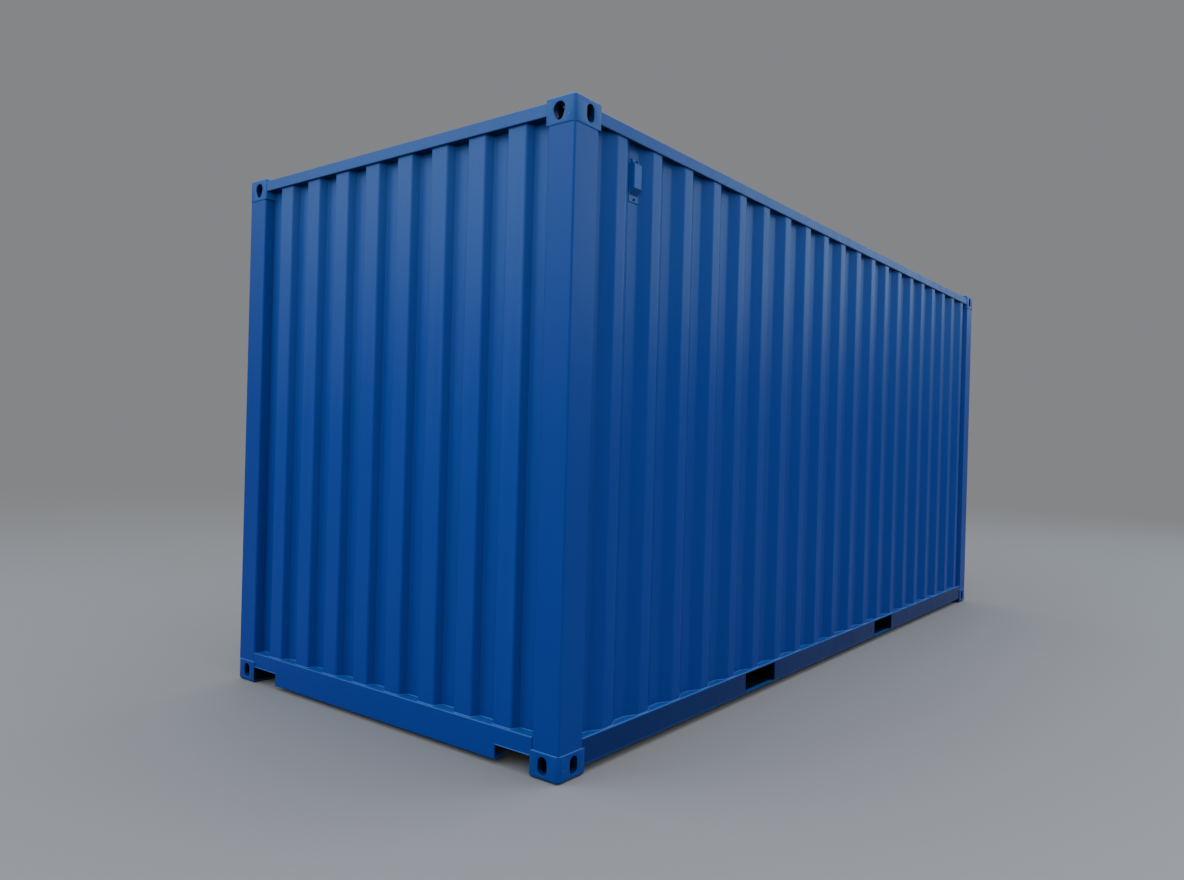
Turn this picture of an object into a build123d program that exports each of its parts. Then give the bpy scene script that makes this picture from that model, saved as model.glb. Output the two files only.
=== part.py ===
"""Twenty-foot high-cube dry freight container: corner castings, welded steel
frame, corrugated walls, stamped roof, plywood floor and closed double doors.

The origin is at the bottom centre. X runs along the container towards the
doors, Y across it and Z up. Left and right are as seen facing the doors, so
the left side is at negative Y. All sizes are in millimetres.
"""
from build123d import *
import os

# Overall size, set by the outer faces of the eight corner castings
LENGTH = 6058
WIDTH = 2438
HEIGHT = 2896

# Corner castings
CASTING_X = 178
CASTING_Y = 162
CASTING_Z = 118
CASTING_WALL = 28
CASTING_CORNER = 14
CASTING_EDGE = 6
SLOT_INSET_X = 102.5
SLOT_INSET_Y = 89.5
DECK_SLOT_LENGTH = 124
DECK_SLOT_WIDTH = 63.5
SIDE_SLOT_HEIGHT = 79
SIDE_SLOT_WIDTH = 51
SHIELD_WIDTH = 65
SHIELD_FOOT = 44
SLOT_SIDES = 12
SLOT_DEPTH = 63

# Frame
FRAME_SETBACK = 3
POST_PLATE = 6
POST_BEND = 9
FRONT_POST_FACE = 153
POST_SIDE_FACE = 161
POST_LIP = 14
TOP_RAIL_DEPTH = 60
TOP_RAIL_WALL = 3
TUBE_BEND = 3
TOP_SIDE_RAIL_DROP = 28
FRONT_TOP_RAIL_DROP = 16
SIDE_RAIL_SETBACK = 5
SIDE_RAIL_BOTTOM = 36
SIDE_RAIL_TOP = 160
SIDE_RAIL_PLATE = 4.5
SIDE_RAIL_BEND = 8
SIDE_RAIL_TOP_FLANGE = 48
SIDE_RAIL_BOTTOM_FLANGE = 30
FRONT_RAIL_BOTTOM = 22
FRONT_RAIL_TOP = 172
FRONT_RAIL_PLATE = 6
FRONT_RAIL_FLANGE = 70
NOTCH_TOP = 90
NOTCH_LENGTH = 210

# Walls
SHEET = 2
SIDE_RIB_PITCH = 284
SIDE_RIB_FLAT = 72
SIDE_RIB_SLOPE = 68
SIDE_RIB_DEPTH = 36
SIDE_RIB_SETBACK = 8
FIRST_RIB_EDGE = 317
LAST_RIB_MARGIN = 246
FRONT_RIB_PITCH = 250
FRONT_RIB_FLAT = 110
FRONT_RIB_SLOPE = 18
FRONT_RIB_DEPTH = 45.6
FRONT_RIB_MARGIN = 60
FRONT_RIB_SETBACK = 14

# Roof
ROOF_RIB_PITCH = 209
ROOF_RIB_INSET = 94
ROOF_RIB_WIDTH = 118
ROOF_RIB_HEIGHT = 18
ROOF_RIB_TAPER = 38
ROOF_EDGE = 14
CORNER_PLATE_THICKNESS = 3
CORNER_PLATE_X = 300
CORNER_PLATE_Y = 76

# Base
FLOOR_THICKNESS = 28
CROSS_MEMBER_FLANGE = 45
CROSS_MEMBER_PLATE = 4
CROSS_MEMBER_PITCH = 280
CROSS_MEMBER_MARGIN = 20
POCKET_CENTRES = (-1196, 821)
POCKET_WIDTH = 366
POCKET_HEIGHT = 108
POCKET_PLATE = 4
POCKET_STRAP = 200
POCKET_FLOOR_PLATE = 6

# Door end
REAR_FACE_DEPTH = 50
REAR_POST_WIDTH = 47.5
LEAF_THICKNESS = 50
LEAF_PLATE = 3
LEAF_GAP = 10
LEAF_STILE = 100
LEAF_RAIL = 120
GASKET_DEPTH = 40
GASKET_SEAT = 0.5
GASKET_LIP = 6
GASKET_WEB = 3
DOOR_GROOVE_COUNT = 4
DOOR_GROOVE_FLAT = 72
DOOR_GROOVE_SLOPE = 34
DOOR_GROOVE_DEPTH = 36
HEADER_DEPTH = 110
HEADER_PLATE = 4
HEADER_DROP = 20
SILL_PLATE = 5
SILL_BOTTOM = 22
POST_CHANNEL_PLATE = 12
HINGE_RECESS = 8.5

# Lock gear
FORGED_SIDES = 8
BORE_SIDES = 12
ROD_RADIUS = 17
ROD_WALL = 3
ROD_CLEARANCE = 6
INNER_ROD_INSET = 225
OUTER_ROD_INSET = 281.5
ROD_END_MARGIN = 22
BRACKET_PLATE = 4
BRACKET_HEIGHT = 50
BRACKET_WING = 26
BRACKET_PLAY = 0.4
BRACKET_COUNT = 5
CAM_THICKNESS = 22
CAM_REACH = 34
CAM_NOSE = 8
CAM_SETBACK = 5
CAM_ROOT = 19
KEEPER_BACK = 2.5
KEEPER_PLATE = 9
KEEPER_GAP = 1
KEEPER_LIP = 4
KEEPER_MARGIN = 12
HANDLE_END_GAP = 150
HANDLE_WIDTH = 34
HANDLE_PLATE = 9
HANDLE_STEP = 110
HUB_LENGTH = 60
HUB_RADIUS = 22
CATCH_WIDTH = 60
CATCH_HEIGHT = 90

# Hinges
HINGE_COUNT = 4
HINGE_HEIGHT = 70
HINGE_EYE_RADIUS = 13
HINGE_PIN_RADIUS = 6.5
HINGE_PLAY = 0.3
HINGE_BLADE_PLATE = 8
HINGE_BLADE_LENGTH = 86
HINGE_LUG_PLATE = 10
HINGE_END_MARGIN = 130

# Ventilators
VENT_PLATE_WIDTH = 76
VENT_PLATE_HEIGHT = 200
VENT_PLATE = 3
VENT_PLATE_CORNER = 6
VENT_DROP = 58
VENT_COVER_WIDTH = 58
VENT_COVER_DROP = 18
VENT_COVER_HEIGHT = 155
VENT_COVER_DEPTH = 26
VENT_COVER_SLOPE = 12
VENT_MOUTH_SLOPE = 34
VENT_WALL = 2.5

# Levels and planes that follow from the sizes above
HALF_LENGTH = LENGTH / 2
HALF_WIDTH = WIDTH / 2
CASTING_INNER_X = HALF_LENGTH - CASTING_X
CASTING_INNER_Y = HALF_WIDTH - CASTING_Y
POST_BOTTOM = CASTING_Z
POST_TOP = HEIGHT - CASTING_Z
POST_FACE_X = HALF_LENGTH - FRAME_SETBACK
POST_FACE_Y = HALF_WIDTH - FRAME_SETBACK
POST_INNER_Y = HALF_WIDTH - FRONT_POST_FACE
POST_EDGE_X = POST_FACE_X - POST_SIDE_FACE
POST_LIP_X = POST_EDGE_X - POST_LIP
SIDE_RAIL_FACE = HALF_WIDTH - SIDE_RAIL_SETBACK
TOP_SIDE_RAIL_TOP = HEIGHT - TOP_SIDE_RAIL_DROP
TOP_SIDE_RAIL_BOTTOM = TOP_SIDE_RAIL_TOP - TOP_RAIL_DEPTH
FRONT_TOP_RAIL_TOP = HEIGHT - FRONT_TOP_RAIL_DROP
FRONT_TOP_RAIL_BOTTOM = FRONT_TOP_RAIL_TOP - TOP_RAIL_DEPTH
FRONT_RAIL_BACK = FRONT_RAIL_FLANGE - POST_FACE_X
SIDE_RIB_FACE = SIDE_RAIL_FACE - SIDE_RIB_SETBACK
SIDE_WALL_INSIDE = SIDE_RIB_FACE - SIDE_RIB_DEPTH - SHEET
FRONT_RIB_FACE = POST_FACE_X - FRONT_RIB_SETBACK
FRONT_WALL_INSIDE = FRONT_RIB_FACE - FRONT_RIB_DEPTH - SHEET
CROSS_MEMBER_TOP = SIDE_RAIL_BOTTOM + POCKET_FLOOR_PLATE + POCKET_HEIGHT + POCKET_PLATE
FLOOR_TOP = CROSS_MEMBER_TOP + FLOOR_THICKNESS
POCKET_BOTTOM = SIDE_RAIL_BOTTOM + POCKET_FLOOR_PLATE
REAR_FACE = HALF_LENGTH - REAR_FACE_DEPTH
DOOR_HALF_WIDTH = HALF_WIDTH - REAR_POST_WIDTH
HINGE_RECESS_Y = DOOR_HALF_WIDTH + HINGE_RECESS
HEADER_TOP = HEIGHT - HEADER_DROP
HEADER_FRONT = REAR_FACE - HEADER_DEPTH
LEAF_INSIDE = REAR_FACE - LEAF_THICKNESS
LEAF_BOTTOM = FLOOR_TOP + LEAF_GAP
LEAF_TOP = POST_TOP - LEAF_GAP
LEAF_HEIGHT = LEAF_TOP - LEAF_BOTTOM
LEAF_OUTER_Y = DOOR_HALF_WIDTH - LEAF_GAP
LEAF_INNER_Y = LEAF_GAP / 2
LEAF_WIDTH = LEAF_OUTER_Y - LEAF_INNER_Y
LEAF_CENTRE_Y = (LEAF_OUTER_Y + LEAF_INNER_Y) / 2
LEAF_CENTRE_Z = (LEAF_BOTTOM + LEAF_TOP) / 2
ROD_X = REAR_FACE + ROD_CLEARANCE + ROD_RADIUS
NOSE_X = ROD_X - CAM_SETBACK
ROD_BOTTOM = SILL_BOTTOM + ROD_END_MARGIN
ROD_TOP = HEADER_TOP - ROD_END_MARGIN
HINGE_Y = LEAF_OUTER_Y
INNER_ROD_Y = LEAF_INNER_Y + INNER_ROD_INSET
OUTER_ROD_Y = LEAF_OUTER_Y - OUTER_ROD_INSET
HANDLE_LENGTH = OUTER_ROD_Y - INNER_ROD_Y - HANDLE_END_GAP
BRACKET_STEP = (LEAF_HEIGHT - LEAF_RAIL) / (BRACKET_COUNT - 1)
HANDLE_LEVEL = LEAF_BOTTOM + LEAF_RAIL / 2 + BRACKET_STEP * 3 / 2
SIDE_RIB_SPAN = LENGTH - FIRST_RIB_EDGE - LAST_RIB_MARGIN - SIDE_RIB_FLAT
SIDE_RIB_COUNT = 1 + int(SIDE_RIB_SPAN / SIDE_RIB_PITCH)
FRONT_RIB_SPAN = 2 * POST_INNER_Y - FRONT_RIB_FLAT - 2 * FRONT_RIB_MARGIN
FRONT_RIB_COUNT = 1 + int(FRONT_RIB_SPAN / FRONT_RIB_PITCH)

LEFT = -1
RIGHT = 1
SIDES = {"left": LEFT, "right": RIGHT}
ENDS = {"front": -1, "rear": 1}

os.makedirs("parts", exist_ok=True)


def save(piece, name):
    """Labels a finished piece and writes it as parts/name.step."""
    piece.part.label = name
    export_step(piece.part, f"parts/{name}.step")


def evenly(first, last, count):
    """Places that divide the run from first to last into equal steps."""
    return [first + (last - first) * i / (count - 1) for i in range(count)]


def corrugation(start, end, first_rib, count, pitch, flat, slope, depth):
    """Corners of a trapezoid wave from start to end, with its ribs at height 0."""
    points = [(start, -depth)]
    for i in range(count):
        left = first_rib + i * pitch
        points += [(left - slope, -depth), (left, 0), (left + flat, 0), (left + flat + slope, -depth)]
    points.append((end, -depth))
    return points


def flat_sided(radius, sides, mode=Mode.ADD):
    """Sketches a boss, a bore or a slot's end with flats in place of a round."""
    RegularPolygon(radius, sides, major_radius=False, rotation=180 / sides, mode=mode)


def side_slot(across, level):
    """Sketches the upright slot in a casting's side."""
    reach = (SIDE_SLOT_HEIGHT - SIDE_SLOT_WIDTH) / 2
    with Locations((across, level + reach), (across, level - reach)):
        flat_sided(SIDE_SLOT_WIDTH / 2, SLOT_SIDES)
    make_hull()


def corner_casting(name, x_side, y_side, z_side):
    """A hollow steel corner casting with slots in its three outer faces."""
    centre_x = x_side * (HALF_LENGTH - CASTING_X / 2)
    centre_y = y_side * (HALF_WIDTH - CASTING_Y / 2)
    centre_z = CASTING_Z / 2 if z_side < 0 else HEIGHT - CASTING_Z / 2
    outer_z = 0 if z_side < 0 else HEIGHT
    slot_z = SLOT_DEPTH if z_side < 0 else HEIGHT - SLOT_DEPTH
    slot_x = x_side * (HALF_LENGTH - SLOT_INSET_X)
    slot_y = y_side * (HALF_WIDTH - SLOT_INSET_Y)
    with BuildPart() as casting:
        with Locations((centre_x, centre_y, centre_z)):
            Box(CASTING_X, CASTING_Y, CASTING_Z)
        upright = casting.edges().filter_by(Axis.Z)
        upright = upright.sort_by(lambda edge: -x_side * edge.center().X - y_side * edge.center().Y)
        fillet(upright[0], CASTING_CORNER)
        chamfer(casting.faces().sort_by(Axis.Z)[-1 if z_side > 0 else 0].edges(), CASTING_EDGE)
        with Locations((centre_x, centre_y, centre_z)):
            Box(
                CASTING_X - 2 * CASTING_WALL,
                CASTING_Y - 2 * CASTING_WALL,
                CASTING_Z - 2 * CASTING_WALL,
                mode=Mode.SUBTRACT,
            )
        with BuildSketch(Plane.XY.offset(outer_z)):
            with Locations((slot_x, slot_y)):
                SlotOverall(DECK_SLOT_LENGTH, DECK_SLOT_WIDTH)
        extrude(amount=-z_side * 2 * CASTING_WALL, mode=Mode.SUBTRACT)
        with BuildSketch(Plane.XZ.offset(-y_side * HALF_WIDTH)):
            side_slot(slot_x, slot_z)
        extrude(amount=y_side * 2 * CASTING_WALL, mode=Mode.SUBTRACT)
        with BuildSketch(Plane.YZ.offset(x_side * HALF_LENGTH)):
            if z_side < 0:
                side_slot(slot_y, slot_z)
            else:
                foot = slot_z - SIDE_SLOT_HEIGHT / 2 + SHIELD_FOOT / 2
                with Locations((slot_y, slot_z + SIDE_SLOT_HEIGHT / 2 - SHIELD_WIDTH / 2)):
                    flat_sided(SHIELD_WIDTH / 2, SLOT_SIDES)
                with Locations((slot_y, foot)):
                    flat_sided(SHIELD_FOOT / 2, SLOT_SIDES)
                make_hull()
        extrude(amount=-x_side * 2 * CASTING_WALL, mode=Mode.SUBTRACT)
    save(casting, name)


def corner_castings():
    """All eight castings, named by level, end and side."""
    for level, z_side in (("bottom", -1), ("top", 1)):
        for end, x_side in ENDS.items():
            for side, y_side in SIDES.items():
                corner_casting(f"casting_{level}_{end}_{side}", x_side, y_side, z_side)


def front_post(side, y_side):
    """A corner post pressed from plate, with a return for each wall."""
    outline = [
        (-FRONT_WALL_INSIDE + POST_PLATE, POST_INNER_Y),
        (-POST_FACE_X, POST_INNER_Y),
        (-POST_FACE_X, POST_FACE_Y),
        (-POST_EDGE_X, POST_FACE_Y),
        (-POST_LIP_X, SIDE_WALL_INSIDE),
    ]
    with BuildPart() as post:
        with BuildSketch(Plane.XY.offset(POST_BOTTOM)):
            with BuildLine():
                path = FilletPolyline(*outline, radius=POST_BEND)
                offset(path, amount=POST_PLATE, side=Side.RIGHT)
            make_face()
        extrude(amount=POST_TOP - POST_BOTTOM)
        if y_side == LEFT:
            mirror(about=Plane.XZ, mode=Mode.REPLACE)
    save(post, f"corner_post_front_{side}")


def rear_post(side, y_side):
    """A rear post: pressed outer plate round a rolled channel at the doors."""
    outline = [
        (POST_LIP_X, SIDE_WALL_INSIDE),
        (POST_EDGE_X, POST_FACE_Y),
        (POST_FACE_X, POST_FACE_Y),
        (POST_FACE_X, HINGE_RECESS_Y),
        (REAR_FACE, HINGE_RECESS_Y),
    ]
    channel_back = POST_FACE_Y - POST_PLATE
    channel_width = REAR_FACE - POST_EDGE_X
    channel_centre = (REAR_FACE + POST_EDGE_X) / 2
    with BuildPart() as post:
        with BuildSketch(Plane.XY.offset(POST_BOTTOM)):
            with BuildLine():
                path = FilletPolyline(*outline, radius=POST_BEND)
                offset(path, amount=POST_PLATE, side=Side.RIGHT)
            make_face()
        extrude(amount=POST_TOP - POST_BOTTOM)
        with BuildSketch(Plane.XY.offset(POST_BOTTOM)):
            with Locations((channel_centre, (DOOR_HALF_WIDTH + channel_back) / 2)):
                Rectangle(channel_width, channel_back - DOOR_HALF_WIDTH)
            with Locations((channel_centre, DOOR_HALF_WIDTH + POST_CHANNEL_PLATE)):
                Rectangle(
                    channel_width - 2 * POST_CHANNEL_PLATE,
                    channel_back - DOOR_HALF_WIDTH - POST_CHANNEL_PLATE,
                    align=(Align.CENTER, Align.MIN),
                    mode=Mode.SUBTRACT,
                )
        extrude(amount=POST_TOP - POST_BOTTOM)
        if y_side == LEFT:
            mirror(about=Plane.XZ, mode=Mode.REPLACE)
    save(post, f"corner_post_rear_{side}")


def tube_section(width, depth, wall):
    """Sketches a tube's wall, with its corners bent round."""
    RectangleRounded(width, depth, wall + TUBE_BEND)
    Rectangle(width - 2 * wall, depth - 2 * wall, mode=Mode.SUBTRACT)


def top_side_rail(side, y_side):
    """The square tube along the top of a side wall, between two castings."""
    centre_z = TOP_SIDE_RAIL_TOP - TOP_RAIL_DEPTH / 2
    with BuildPart() as rail:
        with BuildSketch(Plane.YZ.offset(-CASTING_INNER_X)):
            with Locations((y_side * (SIDE_RAIL_FACE - TOP_RAIL_DEPTH / 2), centre_z)):
                tube_section(TOP_RAIL_DEPTH, TOP_RAIL_DEPTH, TOP_RAIL_WALL)
        extrude(amount=2 * CASTING_INNER_X)
    save(rail, f"top_side_rail_{side}")


def front_top_rail():
    """The tube over the front wall, between the front castings."""
    centre_x = -POST_FACE_X + FRONT_RAIL_FLANGE / 2
    with BuildPart() as rail:
        with BuildSketch(Plane.XZ.offset(-CASTING_INNER_Y)):
            with Locations((centre_x, FRONT_TOP_RAIL_TOP - TOP_RAIL_DEPTH / 2)):
                tube_section(FRONT_RAIL_FLANGE, TOP_RAIL_DEPTH, TOP_RAIL_WALL)
        extrude(amount=2 * CASTING_INNER_Y)
    save(rail, "front_top_rail")


def bottom_side_rail(side, y_side):
    """The pressed channel along the base, from post to post, cut at the fork pockets."""
    face = y_side * SIDE_RAIL_FACE
    web = y_side * (SIDE_RAIL_FACE - SIDE_RAIL_PLATE)
    top_edge = y_side * (SIDE_RAIL_FACE - SIDE_RAIL_TOP_FLANGE)
    bottom_edge = y_side * (SIDE_RAIL_FACE - SIDE_RAIL_BOTTOM_FLANGE)
    inside_top = SIDE_RAIL_TOP - SIDE_RAIL_PLATE
    inside_bottom = SIDE_RAIL_BOTTOM + SIDE_RAIL_PLATE
    with BuildPart() as rail:
        with BuildSketch(Plane.YZ.offset(-POST_EDGE_X)):
            with BuildLine():
                Polyline(
                    (top_edge, SIDE_RAIL_TOP),
                    (face, SIDE_RAIL_TOP),
                    (face, SIDE_RAIL_BOTTOM),
                    (bottom_edge, SIDE_RAIL_BOTTOM),
                    (bottom_edge, inside_bottom),
                    (web, inside_bottom),
                    (web, inside_top),
                    (top_edge, inside_top),
                    close=True,
                )
            make_face()
        extrude(amount=2 * POST_EDGE_X)
        outer = rail.edges().filter_by(Axis.X).group_by(Axis.Y)[-1 if y_side > 0 else 0]
        fillet(outer, SIDE_RAIL_BEND)
        casting_clearance()
        with BuildSketch():
            for x_side in ENDS.values():
                with BuildLine():
                    Polyline(
                        (x_side * POST_EDGE_X, y_side * POST_FACE_Y),
                        (x_side * POST_LIP_X, y_side * SIDE_WALL_INSIDE),
                        (x_side * POST_LIP_X, top_edge),
                        (x_side * POST_EDGE_X, top_edge),
                        close=True,
                    )
                make_face()
        extrude(amount=SIDE_RAIL_TOP, mode=Mode.SUBTRACT)
        for centre in POCKET_CENTRES:
            with Locations((centre, face, POCKET_BOTTOM + POCKET_HEIGHT / 2)):
                Box(POCKET_WIDTH, 3 * SIDE_RAIL_PLATE, POCKET_HEIGHT, mode=Mode.SUBTRACT)
    save(rail, f"bottom_side_rail_{side}")


def casting_clearance():
    """Cuts away the boxes that the castings fill, from the part in hand."""
    for x_side in ENDS.values():
        for y_side in SIDES.values():
            for level in (CASTING_Z / 2, HEIGHT - CASTING_Z / 2):
                with Locations(
                    (
                        x_side * (HALF_LENGTH - CASTING_X / 2),
                        y_side * (HALF_WIDTH - CASTING_Y / 2),
                        level,
                    )
                ):
                    Box(CASTING_X, CASTING_Y, CASTING_Z, mode=Mode.SUBTRACT)


def front_bottom_rail():
    """The deep front rail, with a notch beside each casting for lifting gear."""
    face = -POST_FACE_X
    back = face + FRONT_RAIL_FLANGE
    plate = FRONT_RAIL_PLATE
    notch_centre = CASTING_INNER_Y - NOTCH_LENGTH / 2
    with BuildPart() as rail:
        with BuildSketch(Plane.XZ.offset(-POST_INNER_Y)):
            with BuildLine():
                Polyline(
                    (back, FRONT_RAIL_TOP),
                    (face, FRONT_RAIL_TOP),
                    (face, FRONT_RAIL_BOTTOM),
                    (back, FRONT_RAIL_BOTTOM),
                    (back, FRONT_RAIL_BOTTOM + plate),
                    (face + plate, FRONT_RAIL_BOTTOM + plate),
                    (face + plate, FRONT_RAIL_TOP - plate),
                    (back, FRONT_RAIL_TOP - plate),
                    close=True,
                )
            make_face()
        extrude(amount=2 * POST_INNER_Y)
        fillet(rail.edges().filter_by(Axis.Y).group_by(Axis.X)[0], plate)
        casting_clearance()
        for y_side in SIDES.values():
            with Locations((face, y_side * notch_centre, 0)):
                Box(
                    2 * FRONT_RAIL_FLANGE + plate,
                    NOTCH_LENGTH,
                    NOTCH_TOP,
                    align=(Align.CENTER, Align.CENTER, Align.MIN),
                    mode=Mode.SUBTRACT,
                )
            with Locations((face, y_side * notch_centre, NOTCH_TOP)):
                Box(
                    FRONT_RAIL_FLANGE,
                    NOTCH_LENGTH,
                    plate,
                    align=(Align.MIN, Align.CENTER, Align.MIN),
                )
    save(rail, "front_bottom_rail")


def side_wall(side, y_side):
    """A corrugated side wall with its ribs standing outwards."""
    first_rib = FIRST_RIB_EDGE - HALF_LENGTH
    points = corrugation(
        -POST_LIP_X,
        POST_LIP_X,
        first_rib,
        SIDE_RIB_COUNT,
        SIDE_RIB_PITCH,
        SIDE_RIB_FLAT,
        SIDE_RIB_SLOPE,
        SIDE_RIB_DEPTH,
    )
    face = [(x, SIDE_RIB_FACE + y) for x, y in points]
    with BuildPart() as wall:
        with BuildSketch(Plane.XY.offset(SIDE_RAIL_TOP)):
            with BuildLine():
                path = Polyline(*face)
                offset(path, amount=SHEET, side=Side.RIGHT, kind=Kind.INTERSECTION)
            make_face()
        extrude(amount=TOP_SIDE_RAIL_BOTTOM - SIDE_RAIL_TOP)
        if y_side == LEFT:
            mirror(about=Plane.XZ, mode=Mode.REPLACE)
    save(wall, f"side_wall_{side}")


def front_wall():
    """The corrugated front wall between the corner posts."""
    first_rib = -(FRONT_RIB_COUNT - 1) * FRONT_RIB_PITCH / 2 - FRONT_RIB_FLAT / 2
    points = corrugation(
        -POST_INNER_Y,
        POST_INNER_Y,
        first_rib,
        FRONT_RIB_COUNT,
        FRONT_RIB_PITCH,
        FRONT_RIB_FLAT,
        FRONT_RIB_SLOPE,
        FRONT_RIB_DEPTH,
    )
    face = [(-FRONT_RIB_FACE - x, y) for y, x in points]
    with BuildPart() as wall:
        with BuildSketch(Plane.XY.offset(FRONT_RAIL_TOP)):
            with BuildLine():
                path = Polyline(*face)
                offset(path, amount=SHEET, side=Side.RIGHT, kind=Kind.INTERSECTION)
            make_face()
        extrude(amount=FRONT_TOP_RAIL_BOTTOM - FRONT_RAIL_TOP)
        casting_clearance()
    save(wall, "front_wall")


def roof_panel():
    """The stamped roof sheet with raised ribs across it."""
    front = FRONT_RAIL_BACK
    back = HEADER_FRONT
    length = back - front
    count = int(length / ROOF_RIB_PITCH)
    rib_length = 2 * (SIDE_RAIL_FACE - ROOF_RIB_INSET)
    width = 2 * (SIDE_RAIL_FACE - ROOF_EDGE)
    middle = (front + back) / 2
    with BuildPart() as roof:
        with BuildSketch(Plane.XY.offset(TOP_SIDE_RAIL_TOP)):
            with Locations((middle, 0)):
                Rectangle(length, width)
        extrude(amount=SHEET)
        with BuildSketch(Plane.XY.offset(TOP_SIDE_RAIL_TOP + SHEET)):
            with Locations((middle, 0)):
                with GridLocations(ROOF_RIB_PITCH, 1, count, 1):
                    Rectangle(ROOF_RIB_WIDTH, rib_length)
        extrude(amount=ROOF_RIB_HEIGHT, taper=ROOF_RIB_TAPER)
        with BuildSketch(Plane.XY.offset(TOP_SIDE_RAIL_TOP)):
            with Locations((middle, 0)):
                with GridLocations(ROOF_RIB_PITCH, 1, count, 1):
                    Rectangle(ROOF_RIB_WIDTH - SHEET, rib_length - SHEET)
        extrude(amount=ROOF_RIB_HEIGHT, taper=ROOF_RIB_TAPER, mode=Mode.SUBTRACT)
        casting_clearance()
    save(roof, "roof_panel")


def floor_boards():
    """The plywood floor on the cross members."""
    front = FRONT_RAIL_BACK
    with BuildPart() as floor:
        with Locations(((front + HEADER_FRONT) / 2, 0, CROSS_MEMBER_TOP)):
            Box(
                HEADER_FRONT - front,
                2 * (SIDE_RAIL_FACE - SIDE_RAIL_TOP_FLANGE - SHEET),
                FLOOR_THICKNESS,
                align=(Align.CENTER, Align.CENTER, Align.MIN),
            )
    save(floor, "floor_boards")


def cross_members():
    """Pressed channels across the base, left out where the pockets run."""
    reach = SIDE_RAIL_FACE - SIDE_RAIL_BOTTOM_FLANGE
    height = CROSS_MEMBER_TOP - SIDE_RAIL_BOTTOM
    steps = int((HEADER_FRONT - CROSS_MEMBER_FLANGE / 2 - CROSS_MEMBER_MARGIN) / CROSS_MEMBER_PITCH)
    span = steps * CROSS_MEMBER_PITCH
    clear = POCKET_WIDTH / 2 + 2 * CROSS_MEMBER_FLANGE
    places = [
        x
        for x in evenly(-span, span, 2 * steps + 1)
        if all(abs(x - centre) > clear for centre in POCKET_CENTRES)
    ]
    with BuildPart() as members:
        with BuildSketch(Plane.XZ.offset(-reach)):
            with Locations(*[(x, SIDE_RAIL_BOTTOM) for x in places]):
                Rectangle(CROSS_MEMBER_FLANGE, height, align=(Align.CENTER, Align.MIN))
            with Locations(*[(x + CROSS_MEMBER_PLATE, SIDE_RAIL_BOTTOM + CROSS_MEMBER_PLATE) for x in places]):
                Rectangle(
                    CROSS_MEMBER_FLANGE,
                    height - 2 * CROSS_MEMBER_PLATE,
                    align=(Align.CENTER, Align.MIN),
                    mode=Mode.SUBTRACT,
                )
        extrude(amount=2 * reach)
    save(members, "floor_cross_members")


def fork_pocket(name, centre):
    """A fork-lift pocket: a plate tunnel with a strap under each mouth."""
    reach = SIDE_RAIL_FACE - SIDE_RAIL_PLATE
    height = POCKET_HEIGHT + POCKET_PLATE
    with BuildPart() as pocket:
        with BuildSketch(Plane.XZ.offset(-reach)):
            with Locations((centre, POCKET_BOTTOM)):
                Rectangle(POCKET_WIDTH + 2 * POCKET_PLATE, height, align=(Align.CENTER, Align.MIN))
                Rectangle(POCKET_WIDTH, POCKET_HEIGHT, align=(Align.CENTER, Align.MIN), mode=Mode.SUBTRACT)
        extrude(amount=2 * reach)
        for y_side in SIDES.values():
            strap_edge = SIDE_RAIL_FACE - SIDE_RAIL_BOTTOM_FLANGE
            with Locations((centre, y_side * (strap_edge - POCKET_STRAP / 2), SIDE_RAIL_BOTTOM)):
                Box(
                    POCKET_WIDTH + 2 * POCKET_PLATE,
                    POCKET_STRAP,
                    POCKET_FLOOR_PLATE,
                    align=(Align.CENTER, Align.CENTER, Align.MIN),
                )
    save(pocket, name)


def door_header():
    """The box over the doors, between the rear castings."""
    with BuildPart() as header:
        with BuildSketch(Plane.XZ.offset(-CASTING_INNER_Y)):
            with Locations((REAR_FACE - HEADER_DEPTH / 2, (HEADER_TOP + POST_TOP) / 2)):
                tube_section(HEADER_DEPTH, HEADER_TOP - POST_TOP, HEADER_PLATE)
        extrude(amount=2 * CASTING_INNER_Y)
    save(header, "door_header")


def door_sill():
    """The channel under the doors, open towards the floor."""
    plate = SILL_PLATE
    with BuildPart() as sill:
        with BuildSketch(Plane.XZ.offset(-DOOR_HALF_WIDTH)):
            with BuildLine():
                Polyline(
                    (HEADER_FRONT, FLOOR_TOP),
                    (REAR_FACE, FLOOR_TOP),
                    (REAR_FACE, SILL_BOTTOM),
                    (HEADER_FRONT, SILL_BOTTOM),
                    (HEADER_FRONT, SILL_BOTTOM + plate),
                    (REAR_FACE - plate, SILL_BOTTOM + plate),
                    (REAR_FACE - plate, FLOOR_TOP - plate),
                    (HEADER_FRONT, FLOOR_TOP - plate),
                    close=True,
                )
            make_face()
        extrude(amount=2 * DOOR_HALF_WIDTH)
        casting_clearance()
    save(sill, "door_sill")


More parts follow.
